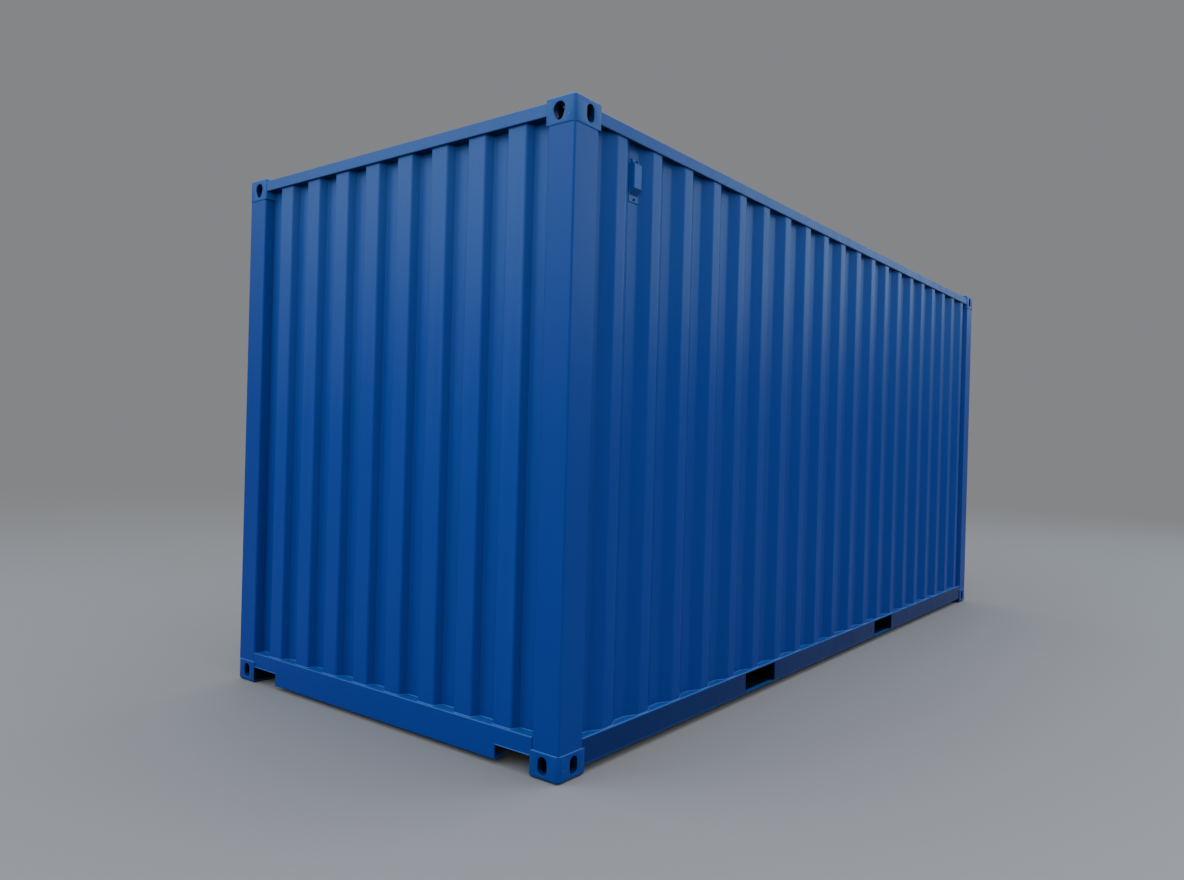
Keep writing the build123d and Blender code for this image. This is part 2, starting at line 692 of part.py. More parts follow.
def door_frame(side, y_side):
    """The welded tube frame round one door leaf."""
    centre_y = y_side * LEAF_CENTRE_Y
    plate = LEAF_PLATE
    with BuildPart() as frame:
        with BuildSketch(Plane.YZ.offset(LEAF_INSIDE)):
            with Locations((centre_y, LEAF_CENTRE_Z)):
                Rectangle(LEAF_WIDTH, LEAF_HEIGHT)
                Rectangle(LEAF_WIDTH - 2 * LEAF_STILE, LEAF_HEIGHT - 2 * LEAF_RAIL, mode=Mode.SUBTRACT)
        extrude(amount=LEAF_THICKNESS)
        with BuildSketch(Plane.YZ.offset(LEAF_INSIDE + plate)):
            with Locations((centre_y, LEAF_CENTRE_Z)):
                Rectangle(LEAF_WIDTH - 2 * plate, LEAF_HEIGHT - 2 * plate)
                Rectangle(
                    LEAF_WIDTH - 2 * LEAF_STILE + 2 * plate,
                    LEAF_HEIGHT - 2 * LEAF_RAIL + 2 * plate,
                    mode=Mode.SUBTRACT,
                )
        extrude(amount=LEAF_THICKNESS - 2 * plate, mode=Mode.SUBTRACT)
    save(frame, f"door_frame_{side}")


def door_panel(side, y_side):
    """The sheet in a door leaf, with grooves pressed across it."""
    bottom = LEAF_BOTTOM + LEAF_RAIL
    top = LEAF_TOP - LEAF_RAIL
    groove = DOOR_GROOVE_FLAT + 2 * DOOR_GROOVE_SLOPE
    pitch = (top - bottom) / (DOOR_GROOVE_COUNT + 1)
    inner = REAR_FACE - DOOR_GROOVE_DEPTH
    points = [(REAR_FACE, bottom)]
    for i in range(DOOR_GROOVE_COUNT):
        start = bottom + (i + 1) * pitch - groove / 2
        points += [
            (REAR_FACE, start),
            (inner, start + DOOR_GROOVE_SLOPE),
            (inner, start + DOOR_GROOVE_SLOPE + DOOR_GROOVE_FLAT),
            (REAR_FACE, start + groove),
        ]
    points.append((REAR_FACE, top))
    half = LEAF_WIDTH / 2 - LEAF_STILE
    with BuildPart() as panel:
        with BuildSketch(Plane.XZ.offset(-y_side * LEAF_CENTRE_Y - half)):
            with BuildLine():
                path = Polyline(*points)
                offset(path, amount=SHEET, side=Side.LEFT, kind=Kind.INTERSECTION)
            make_face()
        extrude(amount=2 * half)
    save(panel, f"door_panel_{side}")


def door_gasket(side, y_side):
    """The rubber seal round a leaf: a web on its edge and two lips to the frame."""
    outer_edge = DOOR_HALF_WIDTH - GASKET_SEAT
    inner_edge = GASKET_SEAT / 2
    bottom = FLOOR_TOP + GASKET_SEAT
    top = POST_TOP - GASKET_SEAT
    start = REAR_FACE - (LEAF_THICKNESS + GASKET_DEPTH) / 2
    with BuildPart() as gasket:
        with BuildSketch(Plane.YZ.offset(start)):
            with Locations((y_side * (outer_edge + inner_edge) / 2, (bottom + top) / 2)):
                Rectangle(outer_edge - inner_edge, top - bottom)
            with Locations((y_side * LEAF_CENTRE_Y, LEAF_CENTRE_Z)):
                Rectangle(LEAF_WIDTH, LEAF_HEIGHT, mode=Mode.SUBTRACT)
        extrude(amount=GASKET_DEPTH)
        with BuildSketch(Plane.YZ.offset(start + GASKET_LIP)):
            with Locations((y_side * (outer_edge + inner_edge) / 2, (bottom + top) / 2)):
                Rectangle(outer_edge - inner_edge, top - bottom)
            with Locations((y_side * LEAF_CENTRE_Y, LEAF_CENTRE_Z)):
                Rectangle(
                    LEAF_WIDTH + 2 * GASKET_WEB,
                    LEAF_HEIGHT + 2 * GASKET_WEB,
                    mode=Mode.SUBTRACT,
                )
        extrude(amount=GASKET_DEPTH - 2 * GASKET_LIP, mode=Mode.SUBTRACT)
    save(gasket, f"door_gasket_{side}")


def lock_rod(name, y):
    """A tubular locking bar with a two-nosed cam at each end."""
    with BuildPart() as rod:
        with BuildSketch(Plane.XY.offset(ROD_BOTTOM)):
            with Locations((ROD_X, y)):
                Circle(ROD_RADIUS)
                flat_sided(ROD_RADIUS - ROD_WALL, BORE_SIDES, Mode.SUBTRACT)
        extrude(amount=ROD_TOP - ROD_BOTTOM)
        for level in (ROD_BOTTOM, ROD_TOP - CAM_THICKNESS):
            with BuildSketch(Plane.XY.offset(level)):
                with Locations((NOSE_X, y + CAM_REACH), (NOSE_X, y - CAM_REACH)):
                    flat_sided(CAM_NOSE, FORGED_SIDES)
                with Locations((ROD_X, y)):
                    flat_sided(CAM_ROOT, FORGED_SIDES)
                make_hull()
            extrude(amount=CAM_THICKNESS)
    save(rod, name)


def lock_rods():
    """Two locking bars on each leaf."""
    for side, y_side in SIDES.items():
        lock_rod(f"lock_rod_{side}_inner", y_side * INNER_ROD_Y)
        lock_rod(f"lock_rod_{side}_outer", y_side * OUTER_ROD_Y)


def rod_places():
    """The Y place of every locking bar."""
    return [y_side * y for y_side in SIDES.values() for y in (INNER_ROD_Y, OUTER_ROD_Y)]


def both_sides(half):
    """A closed outline from its half at one side of the centre line."""
    return half + [(x, -across) for x, across in reversed(half)]


def rod_brackets():
    """Pressed saddles that hold the locking bars to the leaves."""
    margin = LEAF_RAIL / 2
    levels = evenly(LEAF_BOTTOM + margin, LEAF_TOP - margin, BRACKET_COUNT)
    bore = ROD_RADIUS + BRACKET_PLAY
    crown = ROD_X + bore
    outside = bore + BRACKET_PLATE
    foot = outside + BRACKET_WING
    saddle = [
        (crown + BRACKET_PLATE, outside),
        (REAR_FACE + BRACKET_PLATE, outside),
        (REAR_FACE + BRACKET_PLATE, foot),
        (REAR_FACE, foot),
        (REAR_FACE, bore),
        (crown, bore),
    ]
    with BuildPart() as brackets:
        for level in levels:
            with BuildSketch(Plane.XY.offset(level - BRACKET_HEIGHT / 2)):
                for y in rod_places():
                    with BuildLine():
                        Polyline(*[(x, y + across) for x, across in both_sides(saddle)], close=True)
                    make_face()
            extrude(amount=BRACKET_HEIGHT)
    save(brackets, "rod_brackets")


def cam_keepers():
    """Forged keepers on header and sill, each with a claw round both cam noses."""
    nose_edge = CAM_REACH + CAM_NOSE + KEEPER_GAP
    claw_x = NOSE_X + CAM_NOSE + KEEPER_GAP
    claw = [
        (REAR_FACE, nose_edge + KEEPER_PLATE),
        (claw_x + KEEPER_PLATE, nose_edge + KEEPER_PLATE),
        (claw_x + KEEPER_PLATE, CAM_REACH + KEEPER_GAP),
        (claw_x, CAM_REACH + KEEPER_LIP),
        (claw_x, nose_edge),
        (REAR_FACE + KEEPER_BACK, nose_edge),
    ]
    with BuildPart() as keepers:
        for level in (ROD_BOTTOM, ROD_TOP - CAM_THICKNESS):
            with BuildSketch(Plane.XY.offset(level - KEEPER_MARGIN)):
                for y in rod_places():
                    with BuildLine():
                        Polyline(*[(x, y + across) for x, across in both_sides(claw)], close=True)
                    make_face()
            extrude(amount=CAM_THICKNESS + 2 * KEEPER_MARGIN)
    save(keepers, "cam_keepers")


def handle_places():
    """Each handle of a leaf: its bar's Y, its level and the way it points."""
    return (
        (INNER_ROD_Y, HANDLE_LEVEL - HANDLE_STEP / 2, 1),
        (OUTER_ROD_Y, HANDLE_LEVEL + HANDLE_STEP / 2, -1),
    )


def door_handles(side, y_side):
    """The two handles of a leaf, swung flat against it and set in their catches."""
    bar_x = ROD_X + ROD_RADIUS - HANDLE_PLATE
    bore = ROD_RADIUS + BRACKET_PLAY
    with BuildPart() as handles:
        for y, level, reach in handle_places():
            way = y_side * reach
            root = y_side * y
            with BuildSketch(Plane.XY.offset(level - HUB_LENGTH / 2)):
                with Locations((ROD_X, root)):
                    flat_sided(HUB_RADIUS, FORGED_SIDES)
                    flat_sided(bore, BORE_SIDES, Mode.SUBTRACT)
            extrude(amount=HUB_LENGTH)
            with BuildSketch(Plane.YZ.offset(bar_x)):
                with BuildLine():
                    Polyline(
                        (root + way * bore, level + HUB_LENGTH / 2),
                        (root + way * (bore + HUB_LENGTH), level + HANDLE_WIDTH / 2),
                        (root + way * (HANDLE_LENGTH - HANDLE_WIDTH / 2), level + HANDLE_WIDTH / 2),
                        (root + way * HANDLE_LENGTH, level),
                        (root + way * (HANDLE_LENGTH - HANDLE_WIDTH / 2), level - HANDLE_WIDTH / 2),
                        (root + way * (bore + HUB_LENGTH), level - HANDLE_WIDTH / 2),
                        (root + way * bore, level - HUB_LENGTH / 2),
                        close=True,
                    )
                make_face()
            extrude(amount=HANDLE_PLATE)
    save(handles, f"door_handles_{side}")


def handle_catches():
    """The catches on the leaves: a plate with a cradle that carries the handle."""
    depth = ROD_X + ROD_RADIUS - HANDLE_PLATE - REAR_FACE
    with BuildPart() as catches:
        for y_side in SIDES.values():
            for y, level, reach in handle_places():
                place = y_side * (y + reach * (HANDLE_LENGTH - CATCH_WIDTH))
                with Locations((REAR_FACE, place, level)):
                    Box(
                        BRACKET_PLATE,
                        CATCH_WIDTH,
                        CATCH_HEIGHT,
                        align=(Align.MIN, Align.CENTER, Align.CENTER),
                    )
                    Box(
                        depth,
                        CATCH_WIDTH / 2,
                        BRACKET_PLATE,
                        align=(Align.MIN, Align.CENTER, Align.CENTER),
                    )
                with Locations((REAR_FACE, place, level - HANDLE_WIDTH / 2 - BRACKET_PLAY)):
                    Box(
                        depth + HANDLE_PLATE,
                        CATCH_WIDTH / 2,
                        BRACKET_PLATE,
                        align=(Align.MIN, Align.CENTER, Align.MAX),
                    )
    save(catches, "handle_catches")


def hinge_levels():
    """The heights of the hinges on a leaf."""
    return evenly(LEAF_BOTTOM + HINGE_END_MARGIN, LEAF_TOP - HINGE_END_MARGIN, HINGE_COUNT)


def hinge_blades():
    """The hinge blades welded to the leaves, each with an eye for its pin."""
    blade_start = HINGE_Y - HINGE_EYE_RADIUS
    with BuildPart() as blades:
        for level in hinge_levels():
            with BuildSketch(Plane.XY.offset(level - HINGE_HEIGHT / 2)):
                for y_side in SIDES.values():
                    with BuildSketch(mode=Mode.PRIVATE) as blade:
                        with Locations((ROD_X, y_side * HINGE_Y)):
                            flat_sided(HINGE_EYE_RADIUS, FORGED_SIDES)
                        with Locations((REAR_FACE, y_side * (blade_start - HINGE_BLADE_LENGTH / 2))):
                            Rectangle(HINGE_BLADE_PLATE, HINGE_BLADE_LENGTH, align=(Align.MIN, Align.CENTER))
                        make_hull()
                        with Locations((ROD_X, y_side * HINGE_Y)):
                            flat_sided(HINGE_PIN_RADIUS + HINGE_PLAY, BORE_SIDES, Mode.SUBTRACT)
                    add(blade.sketch)
            extrude(amount=HINGE_HEIGHT)
    save(blades, "hinge_blades")


def hinge_lugs():
    """The lugs on the rear posts, with a pin between each pair."""
    post_edge = HINGE_RECESS_Y
    inner = HINGE_Y - HINGE_EYE_RADIUS
    half = HINGE_HEIGHT / 2 + HINGE_PLAY
    with BuildPart() as lugs:
        for level in hinge_levels():
            for y_side in SIDES.values():
                with Locations(
                    (ROD_X, y_side * (post_edge + inner) / 2, level + half),
                    (ROD_X, y_side * (post_edge + inner) / 2, level - half - HINGE_LUG_PLATE),
                ):
                    Box(
                        2 * HINGE_EYE_RADIUS,
                        post_edge - inner,
                        HINGE_LUG_PLATE,
                        align=(Align.CENTER, Align.CENTER, Align.MIN),
                    )
            with BuildSketch(Plane.XY.offset(level - half)):
                with Locations((ROD_X, -HINGE_Y), (ROD_X, HINGE_Y)):
                    flat_sided(HINGE_PIN_RADIUS, BORE_SIDES)
            extrude(amount=2 * half)
    save(lugs, "hinge_lugs")


def vent_profile(wall_face, top, wall):
    """Corners of a vent hood seen from its side, inset by a wall."""
    outer = wall_face + VENT_COVER_DEPTH - wall
    return [
        (wall_face, top - wall),
        (outer - VENT_COVER_SLOPE, top - wall),
        (outer, top - VENT_COVER_SLOPE - wall),
        (outer, top - VENT_COVER_HEIGHT + VENT_MOUTH_SLOPE),
        (wall_face, top - VENT_COVER_HEIGHT),
    ]


def ventilator(side, y_side, x):
    """An air vent in a valley of a side wall: a plate with a hood open below."""
    wall_face = SIDE_RIB_FACE - SIDE_RIB_DEPTH
    plate_top = TOP_SIDE_RAIL_BOTTOM - VENT_DROP
    cover_top = plate_top - VENT_COVER_DROP
    plate_face = wall_face + VENT_PLATE
    with BuildPart() as vent:
        with BuildSketch(Plane.YZ.offset(x - VENT_COVER_WIDTH / 2)):
            with BuildLine():
                Polyline(*vent_profile(wall_face, cover_top, 0), close=True)
            make_face()
        extrude(amount=VENT_COVER_WIDTH)
        hood_edges = vent.edges().filter_by(Axis.Z).group_by(Axis.Y)[-1]
        fillet(hood_edges, VENT_WALL)
        with BuildSketch(Plane.YZ.offset(x - VENT_COVER_WIDTH / 2 + VENT_WALL)):
            with BuildLine():
                Polyline(*vent_profile(wall_face, cover_top, VENT_WALL), close=True)
            make_face()
        extrude(amount=VENT_COVER_WIDTH - 2 * VENT_WALL, mode=Mode.SUBTRACT)
        with BuildSketch(Plane.XZ.offset(-plate_face)):
            with Locations((x, plate_top - VENT_PLATE_HEIGHT / 2)):
                RectangleRounded(VENT_PLATE_WIDTH, VENT_PLATE_HEIGHT, VENT_PLATE_CORNER)
        extrude(amount=VENT_PLATE)
        if y_side == LEFT:
            mirror(about=Plane.XZ, mode=Mode.REPLACE)
    save(vent, f"ventilator_{side}")


def roof_corner_plates():
    """Doubler plates on the roof beside each top casting."""
    with BuildPart() as plates:
        for x_side in ENDS.values():
            for y_side in SIDES.values():
                with Locations(
                    (
                        x_side * CASTING_INNER_X,
                        y_side * (SIDE_RAIL_FACE - ROOF_EDGE),
                        TOP_SIDE_RAIL_TOP + SHEET,
                    )
                ):
                    Box(
                        CORNER_PLATE_X,
                        CORNER_PLATE_Y,
                        CORNER_PLATE_THICKNESS,
                        align=(
                            Align.MAX if x_side > 0 else Align.MIN,
                            Align.MAX if y_side > 0 else Align.MIN,
                            Align.MIN,
                        ),
                    )
    save(plates, "roof_corner_plates")


def main():
    """Builds every piece of the container."""
    corner_castings()
    for side, y_side in SIDES.items():
        front_post(side, y_side)
        rear_post(side, y_side)
        top_side_rail(side, y_side)
        bottom_side_rail(side, y_side)
        side_wall(side, y_side)
        door_frame(side, y_side)
        door_panel(side, y_side)
        door_gasket(side, y_side)
        door_handles(side, y_side)
    front_top_rail()
    front_bottom_rail()
    front_wall()
    roof_panel()
    roof_corner_plates()
    floor_boards()
    cross_members()
    fork_pocket("fork_pocket_front", POCKET_CENTRES[0])
    fork_pocket("fork_pocket_rear", POCKET_CENTRES[1])
    door_header()
    door_sill()
    lock_rods()
    rod_brackets()
    cam_keepers()
    handle_catches()
    hinge_blades()
    hinge_lugs()
    valley = FIRST_RIB_EDGE - HALF_LENGTH + SIDE_RIB_FLAT + (SIDE_RIB_PITCH - SIDE_RIB_FLAT) / 2
    last_valley = valley + (SIDE_RIB_COUNT - 2) * SIDE_RIB_PITCH
    ventilator("left", LEFT, valley)
    ventilator("right", RIGHT, last_valley)


main()
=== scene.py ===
"""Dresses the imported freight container: paint, castings, pressed walls, welds and door gear.

The frame is in metres, X along the container towards the doors, Z up. The left
side is at negative Y, as seen facing the doors.
"""
from __future__ import annotations

import logging
import math
from dataclasses import dataclass, replace
from enum import Enum
from itertools import product
from typing import Iterable, Sequence

import bmesh
import bpy
from mathutils import Matrix, Vector

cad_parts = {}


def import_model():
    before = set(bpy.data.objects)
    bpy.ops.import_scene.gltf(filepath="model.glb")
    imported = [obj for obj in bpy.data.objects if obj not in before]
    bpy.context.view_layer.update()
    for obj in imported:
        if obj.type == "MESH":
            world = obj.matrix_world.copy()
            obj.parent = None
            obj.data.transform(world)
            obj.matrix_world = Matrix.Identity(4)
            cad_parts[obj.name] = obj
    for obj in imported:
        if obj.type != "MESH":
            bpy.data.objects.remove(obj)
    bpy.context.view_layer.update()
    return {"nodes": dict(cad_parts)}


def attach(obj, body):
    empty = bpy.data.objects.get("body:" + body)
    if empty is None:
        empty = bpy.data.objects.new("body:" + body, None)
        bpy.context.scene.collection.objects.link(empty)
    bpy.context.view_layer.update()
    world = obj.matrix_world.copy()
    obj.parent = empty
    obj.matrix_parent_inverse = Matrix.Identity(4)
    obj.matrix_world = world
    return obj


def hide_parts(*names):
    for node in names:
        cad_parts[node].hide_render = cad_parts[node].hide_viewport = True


LOG = logging.getLogger("container")
MM = 0.001
BODY = "root"
HALF_LENGTH = 3029 * MM
HALF_WIDTH = 1219 * MM
HEIGHT = 2896 * MM

BMesh = bmesh.types.BMesh
Node = bpy.types.Node
Object = bpy.types.Object
Socket = bpy.types.NodeSocket
Tree = bpy.types.NodeTree
Colour = tuple[float, float, float, float]
Pair = tuple[float, float]
Point = tuple[float, float, float]


class Side(Enum):
    """The long sides of the container, with the sign of their Y."""

    LEFT = -1
    RIGHT = 1


class End(Enum):
    """The ends of the container, with the sign of their X."""

    FRONT = -1
    REAR = 1


class Level(Enum):
    """The base and the roof, with the sign of the face that looks outwards."""

    BOTTOM = -1
    TOP = 1


class Axis(Enum):
    """The axis that a slot passes along, with its place in a point."""

    X = 0
    Y = 1
    Z = 2


class Grain(Enum):
    """The steel under its paint, as the width and depth in mm of its waves or grit."""

    SHEET = (240, 2.2)
    PLATE = (480, 1.2)
    # Casting grit is really about 1 mm across, and is drawn coarser so that it shows
    CAST = (7, 1.0)


# Colour and nodes


SHADER = "Principled BSDF"
# The sockets of a colour mix, by number since their names repeat
SHARE, BELOW, ABOVE, MIXED = 0, 6, 7, 2


def linear(code: str) -> Colour:
    """Turns an sRGB hex colour to linear light.

    Args:
        code: six hex digits after a hash sign.

    Returns:
        Red, green, blue and an alpha of 1.
    """
    parts = [int(code[i : i + 2], 16) / 255 for i in (1, 3, 5)]
    red, green, blue = [c / 12.92 if c <= 0.04045 else ((c + 0.055) / 1.055) ** 2.4 for c in parts]
    return red, green, blue, 1.0


def per_metre(size_mm: float) -> float:
    """Returns the scale of a pattern whose parts have this size."""
    return 1 / (size_mm * MM)


def feed(tree: Tree, node: Node, inputs: dict) -> None:
    """Sets a node's sockets.

    Args:
        tree: the tree that holds it.
        node: the node.
        inputs: for each socket, by name or number, a value, an output or a node for its first output.
    """
    for key, value in inputs.items():
        if isinstance(value, (Node, Socket)):
            source = value.outputs[0] if isinstance(value, Node) else value
            tree.links.new(source, node.inputs[key])
        else:
            node.inputs[key].default_value = value


def add_node(tree: Tree, kind: str, inputs: dict | None = None, **settings: object) -> Node:
    """Adds a node with its settings, values and links.

    Args:
        tree: the tree that gets the node.
        kind: the node's type name.
        inputs: what feeds its sockets.
        settings: the node's own properties.

    Returns:
        The new node.
    """
    node = tree.nodes.new(kind)
    for key, value in settings.items():
        setattr(node, key, value)
    feed(tree, node, inputs or {})
    return node


# Finishes


@dataclass(frozen=True)
class Finish:
    """A surface finish that becomes one material."""

    name: str

    def dress(self, tree: Tree) -> None:
        """Fills the node tree of the material.

        Args:
            tree: the material's tree.
        """
        raise NotImplementedError

    def material(self) -> bpy.types.Material:
        """Returns the finish's material, made on first use."""
        made = bpy.data.materials.get(self.name)
        if not made:
            made = bpy.data.materials.new(self.name)
            made.use_nodes = True
            self.dress(made.node_tree)
        return made


@dataclass(frozen=True)
class Topcoat(Finish):
    """Sprayed semi-gloss topcoat on shot-blasted steel, lighter towards the top: part chalk fade, part
    painted sheen.
    """

    low: str
    middle: str
    high: str
    grain: Grain
    middle_at: float = 0.55
    # Chalk and painted highlight: faces that look up are paled towards this colour, part settled dust and
    # part the light that falls on them from above
    chalk_and_highlight: str = "#1D57A6"
    chalk_and_highlight_spread: Pair = (0.3, 0.62)
    least_chalk_and_highlight: float = 0.5
    # Painted shade: faces that look down are darkened towards this colour, for the shade under rails, ribs
    # and castings
    underside: str = "#02123C"
    facing_up: Pair = (0.15, 0.85)
    facing_down: Pair = (-0.3, -0.9)
    # Painted shade: between two heights in mm, the rails' webs are darkened towards this colour
    painted_rail_shade: str = "#001F60"
    painted_shade_band_mm: Pair | None = None
    painted_shade_band_edge_mm: float = 6
    # Pale patches: scuffs on most castings, a painted highlight on the roof casting over the left rear post
    scuff_and_highlight: str = "#8096B8"
    scuff_and_highlight_share: float = 0
    scuff_and_highlight_from: float = 0.62
    scuff_and_highlight_edge: float = 0.1
    spread: Pair = (0.6, 1.4)
    tone_swing: float = 0.09
    roughness: float = 0.39
    gloss_swing: Pair = (-0.05, 0.06)
    specular: float = 0.2
    patch_mm: float = 700
    chalk_and_highlight_mm: float = 625
    streak_mm: Pair = (60, 1111.11)
    scuff_and_highlight_mm: float = 22.2222
    # Orange peel is really 2 or 3 mm across, and is drawn coarser so that it shows
    peel_mm: Pair = (9, 0.4)
    peel_strength: float = 0.12
    grain_strength: float = 0.5

    def dress(self, tree: Tree) -> None:
        """Gives paint its fade and painted sheen towards the top, faint run-off streaks, orange peel and
        the steel's unevenness.

        Args:
            tree: the material's tree.
        """
        coords = add_node(tree, "ShaderNodeTexCoord").outputs["Object"]
        height = add_node(tree, "ShaderNodeSeparateXYZ", {0: coords}).outputs["Z"]
        fade = add_node(tree, "ShaderNodeMapRange", {"Value": height, "From Max": HEIGHT})
        broad = {"Scale": per_metre(self.patch_mm), "Detail": 4.0, "Roughness": 0.55}
        patches = add_node(tree, "ShaderNodeTexNoise", {"Vector": coords, **broad})
        across, down = (per_metre(size) for size in self.streak_mm)
        drawn = add_node(tree, "ShaderNodeMapping", {"Vector": coords, "Scale": (across, across, down)})
        streaks = add_node(tree, "ShaderNodeTexNoise", {"Vector": drawn, "Scale": 1.0, "Detail": 3.0})
        uneven = add_node(tree, "ShaderNodeMath", {0: patches, 1: streaks}, operation="ADD")
        spread = {"Value": uneven, "From Min": self.spread[0], "From Max": self.spread[1]}
        swing = {"To Min": -self.tone_swing, "To Max": self.tone_swing}
        shift = add_node(tree, "ShaderNodeMapRange", {**spread, **swing})
        tone = add_node(tree, "ShaderNodeMath", {0: fade, 1: shift}, operation="ADD", use_clamp=True)
        # Lighter towards the top: part chalk fade, part painted sheen
        ramp = add_node(tree, "ShaderNodeValToRGB", {"Fac": tone})
        stops = ramp.color_ramp.elements
        stops[0].color, stops[1].color = linear(self.low), linear(self.high)
        stops.new(self.middle_at).color = linear(self.middle)
        smoothest, roughest = (self.roughness + change for change in self.gloss_swing)
        gloss = {**spread, "To Min": smoothest, "To Max": roughest}
        looks = {
            "Base Color": self.weathered_and_shaded(tree, ramp.outputs["Color"], coords, height),
            "Roughness": add_node(tree, "ShaderNodeMapRange", gloss),
            "Specular IOR Level": self.specular,
            "Normal": self.relief(tree, coords),
        }
        feed(tree, tree.nodes[SHADER], looks)

    def weathered_and_shaded(self, tree: Tree, base: Socket, coords: Socket, height: Socket) -> Socket:
        """Lays chalk and painted highlight on faces that look up and painted shade on those that look down,
        then a band of painted shade and pale patches of scuffs and painted highlight.

        Args:
            tree: the material's tree.
            base: the clean paint's colour.
            coords: the Object coordinates.
            height: their Z.

        Returns:
            The weathered colour.
        """
        facing = add_node(tree, "ShaderNodeTexCoord").outputs["Normal"]
        up = add_node(tree, "ShaderNodeSeparateXYZ", {0: facing}).outputs["Z"]
        level, painted_shade_below = (
            add_node(tree, "ShaderNodeMapRange", {"Value": up, "From Min": low, "From Max": high})
            for low, high in (self.facing_up, self.facing_down)
        )
        wash = {"Scale": per_metre(self.chalk_and_highlight_mm), "Detail": 6.0, "Roughness": 0.6}
        cloud = add_node(tree, "ShaderNodeTexNoise", {"Vector": coords, **wash})
        low, high = self.chalk_and_highlight_spread
        patchy = {"Value": cloud, "From Min": low, "From Max": high, "To Min": self.least_chalk_and_highlight}
        patchy_share = add_node(tree, "ShaderNodeMapRange", patchy)
        chalk_and_highlight = add_node(tree, "ShaderNodeMath", {0: level, 1: patchy_share}, operation="MULTIPLY")
        # Up-facing faces take chalk and painted highlight, down-facing ones take painted shade
        layers = [(self.chalk_and_highlight, chalk_and_highlight), (self.underside, painted_shade_below)]
        # Painted shade band on the base rails
        if self.painted_shade_band_mm:
            edge = self.painted_shade_band_edge_mm * MM
            foot, top = (place * MM for place in self.painted_shade_band_mm)
            rise, fall = (
                add_node(tree, "ShaderNodeMapRange", {"Value": height, "From Min": low, "From Max": high})
                for low, high in ((foot, foot + edge), (top, top - edge))
            )
            band = add_node(tree, "ShaderNodeMath", {0: rise, 1: fall}, operation="MULTIPLY")
            layers.append((self.painted_rail_shade, band))
        # Pale patches: scuffs on most castings, a painted highlight on one
        if self.scuff_and_highlight_share:
            fine = {"Scale": per_metre(self.scuff_and_highlight_mm), "Detail": 6.0, "Roughness": 0.7}
            marks = add_node(tree, "ShaderNodeTexNoise", {"Vector": coords, **fine})
            reach = {"From Min": self.scuff_and_highlight_from, "From Max": self.scuff_and_highlight_from + self.scuff_and_highlight_edge}
            scuffs_and_highlights = {"Value": marks, **reach, "To Max": self.scuff_and_highlight_share}
            layers.append((self.scuff_and_highlight, add_node(tree, "ShaderNodeMapRange", scuffs_and_highlights)))
        for over, share in layers:
            mix = {SHARE: share, BELOW: base, ABOVE: linear(over)}
            base = add_node(tree, "ShaderNodeMix", mix, data_type="RGBA").outputs[MIXED]
        return base

    def relief(self, tree: Tree, coords: Socket) -> Socket:
        """Adds orange peel, and under it the waves of sheet or the grit of a casting.

        Args:
            tree: the material's tree.
            coords: the Object coordinates.

        Returns:
            The normal of both.
        """
        below: dict[str, Socket] = {}
        sizes = ((self.peel_mm, self.peel_strength), (self.grain.value, self.grain_strength))
        for (width, depth), strength in sizes:
            waves = {"Vector": coords, "Scale": per_metre(width), "Detail": 2.0}
            rise = {"Height": add_node(tree, "ShaderNodeTexNoise", waves), "Strength": strength}
            bump = add_node(tree, "ShaderNodeBump", {**rise, "Distance": depth * MM, **below})
            below = {"Normal": bump.outputs["Normal"]}
        return below["Normal"]


@dataclass(frozen=True)
class Galvanised(Finish):
    """Hot-dip galvanised steel: dull grey zinc with faint spangle."""

    light: str = "#B4B8BA"
    dark: str = "#8D9296"
    metallic: float = 0.9
    gloss: Pair = (0.38, 0.56)
    spangle_mm: float = 14

    def dress(self, tree: Tree) -> None:
        """Gives zinc its spangle in colour and gloss.

        Args:
            tree: the material's tree.
        """
        coords = add_node(tree, "ShaderNodeTexCoord").outputs["Object"]
        cells = {"Vector": coords, "Scale": per_metre(self.spangle_mm)}
        spangle = add_node(tree, "ShaderNodeTexVoronoi", cells).outputs["Color"]
        level = add_node(tree, "ShaderNodeRGBToBW", {0: spangle})
        tones = {SHARE: level, BELOW: linear(self.dark), ABOVE: linear(self.light)}
        gloss = {"Value": level, "To Min": self.gloss[0], "To Max": self.gloss[1]}
        looks = {
            "Base Color": add_node(tree, "ShaderNodeMix", tones, data_type="RGBA").outputs[MIXED],
            "Roughness": add_node(tree, "ShaderNodeMapRange", gloss),
            "Metallic": self.metallic,
        }
        feed(tree, tree.nodes[SHADER], looks)


@dataclass(frozen=True)
class SealRubber(Finish):
    """Extruded door seal rubber: near black and matt, with fine bloom."""

    dark: str = "#141517"
    bloom: str = "#232527"
    roughness: float = 0.68
    bloom_mm: float = 35
    tooth_mm: float = 0.3

    def dress(self, tree: Tree) -> None:
        """Gives rubber its cloudy bloom and fine tooth.

        Args:
            tree: the material's tree.
        """
        coords = add_node(tree, "ShaderNodeTexCoord").outputs["Object"]
        bloom = {"Vector": coords, "Scale": per_metre(self.bloom_mm), "Detail": 5.0}
        cloud = add_node(tree, "ShaderNodeTexNoise", bloom)
        tones = {SHARE: cloud, BELOW: linear(self.dark), ABOVE: linear(self.bloom)}
        tooth = {"Height": cloud, "Strength": 0.2, "Distance": self.tooth_mm * MM}
        looks = {
            "Base Color": add_node(tree, "ShaderNodeMix", tones, data_type="RGBA").outputs[MIXED],
            "Roughness": self.roughness,
            "Normal": add_node(tree, "ShaderNodeBump", tooth),
        }
        feed(tree, tree.nodes[SHADER], looks)


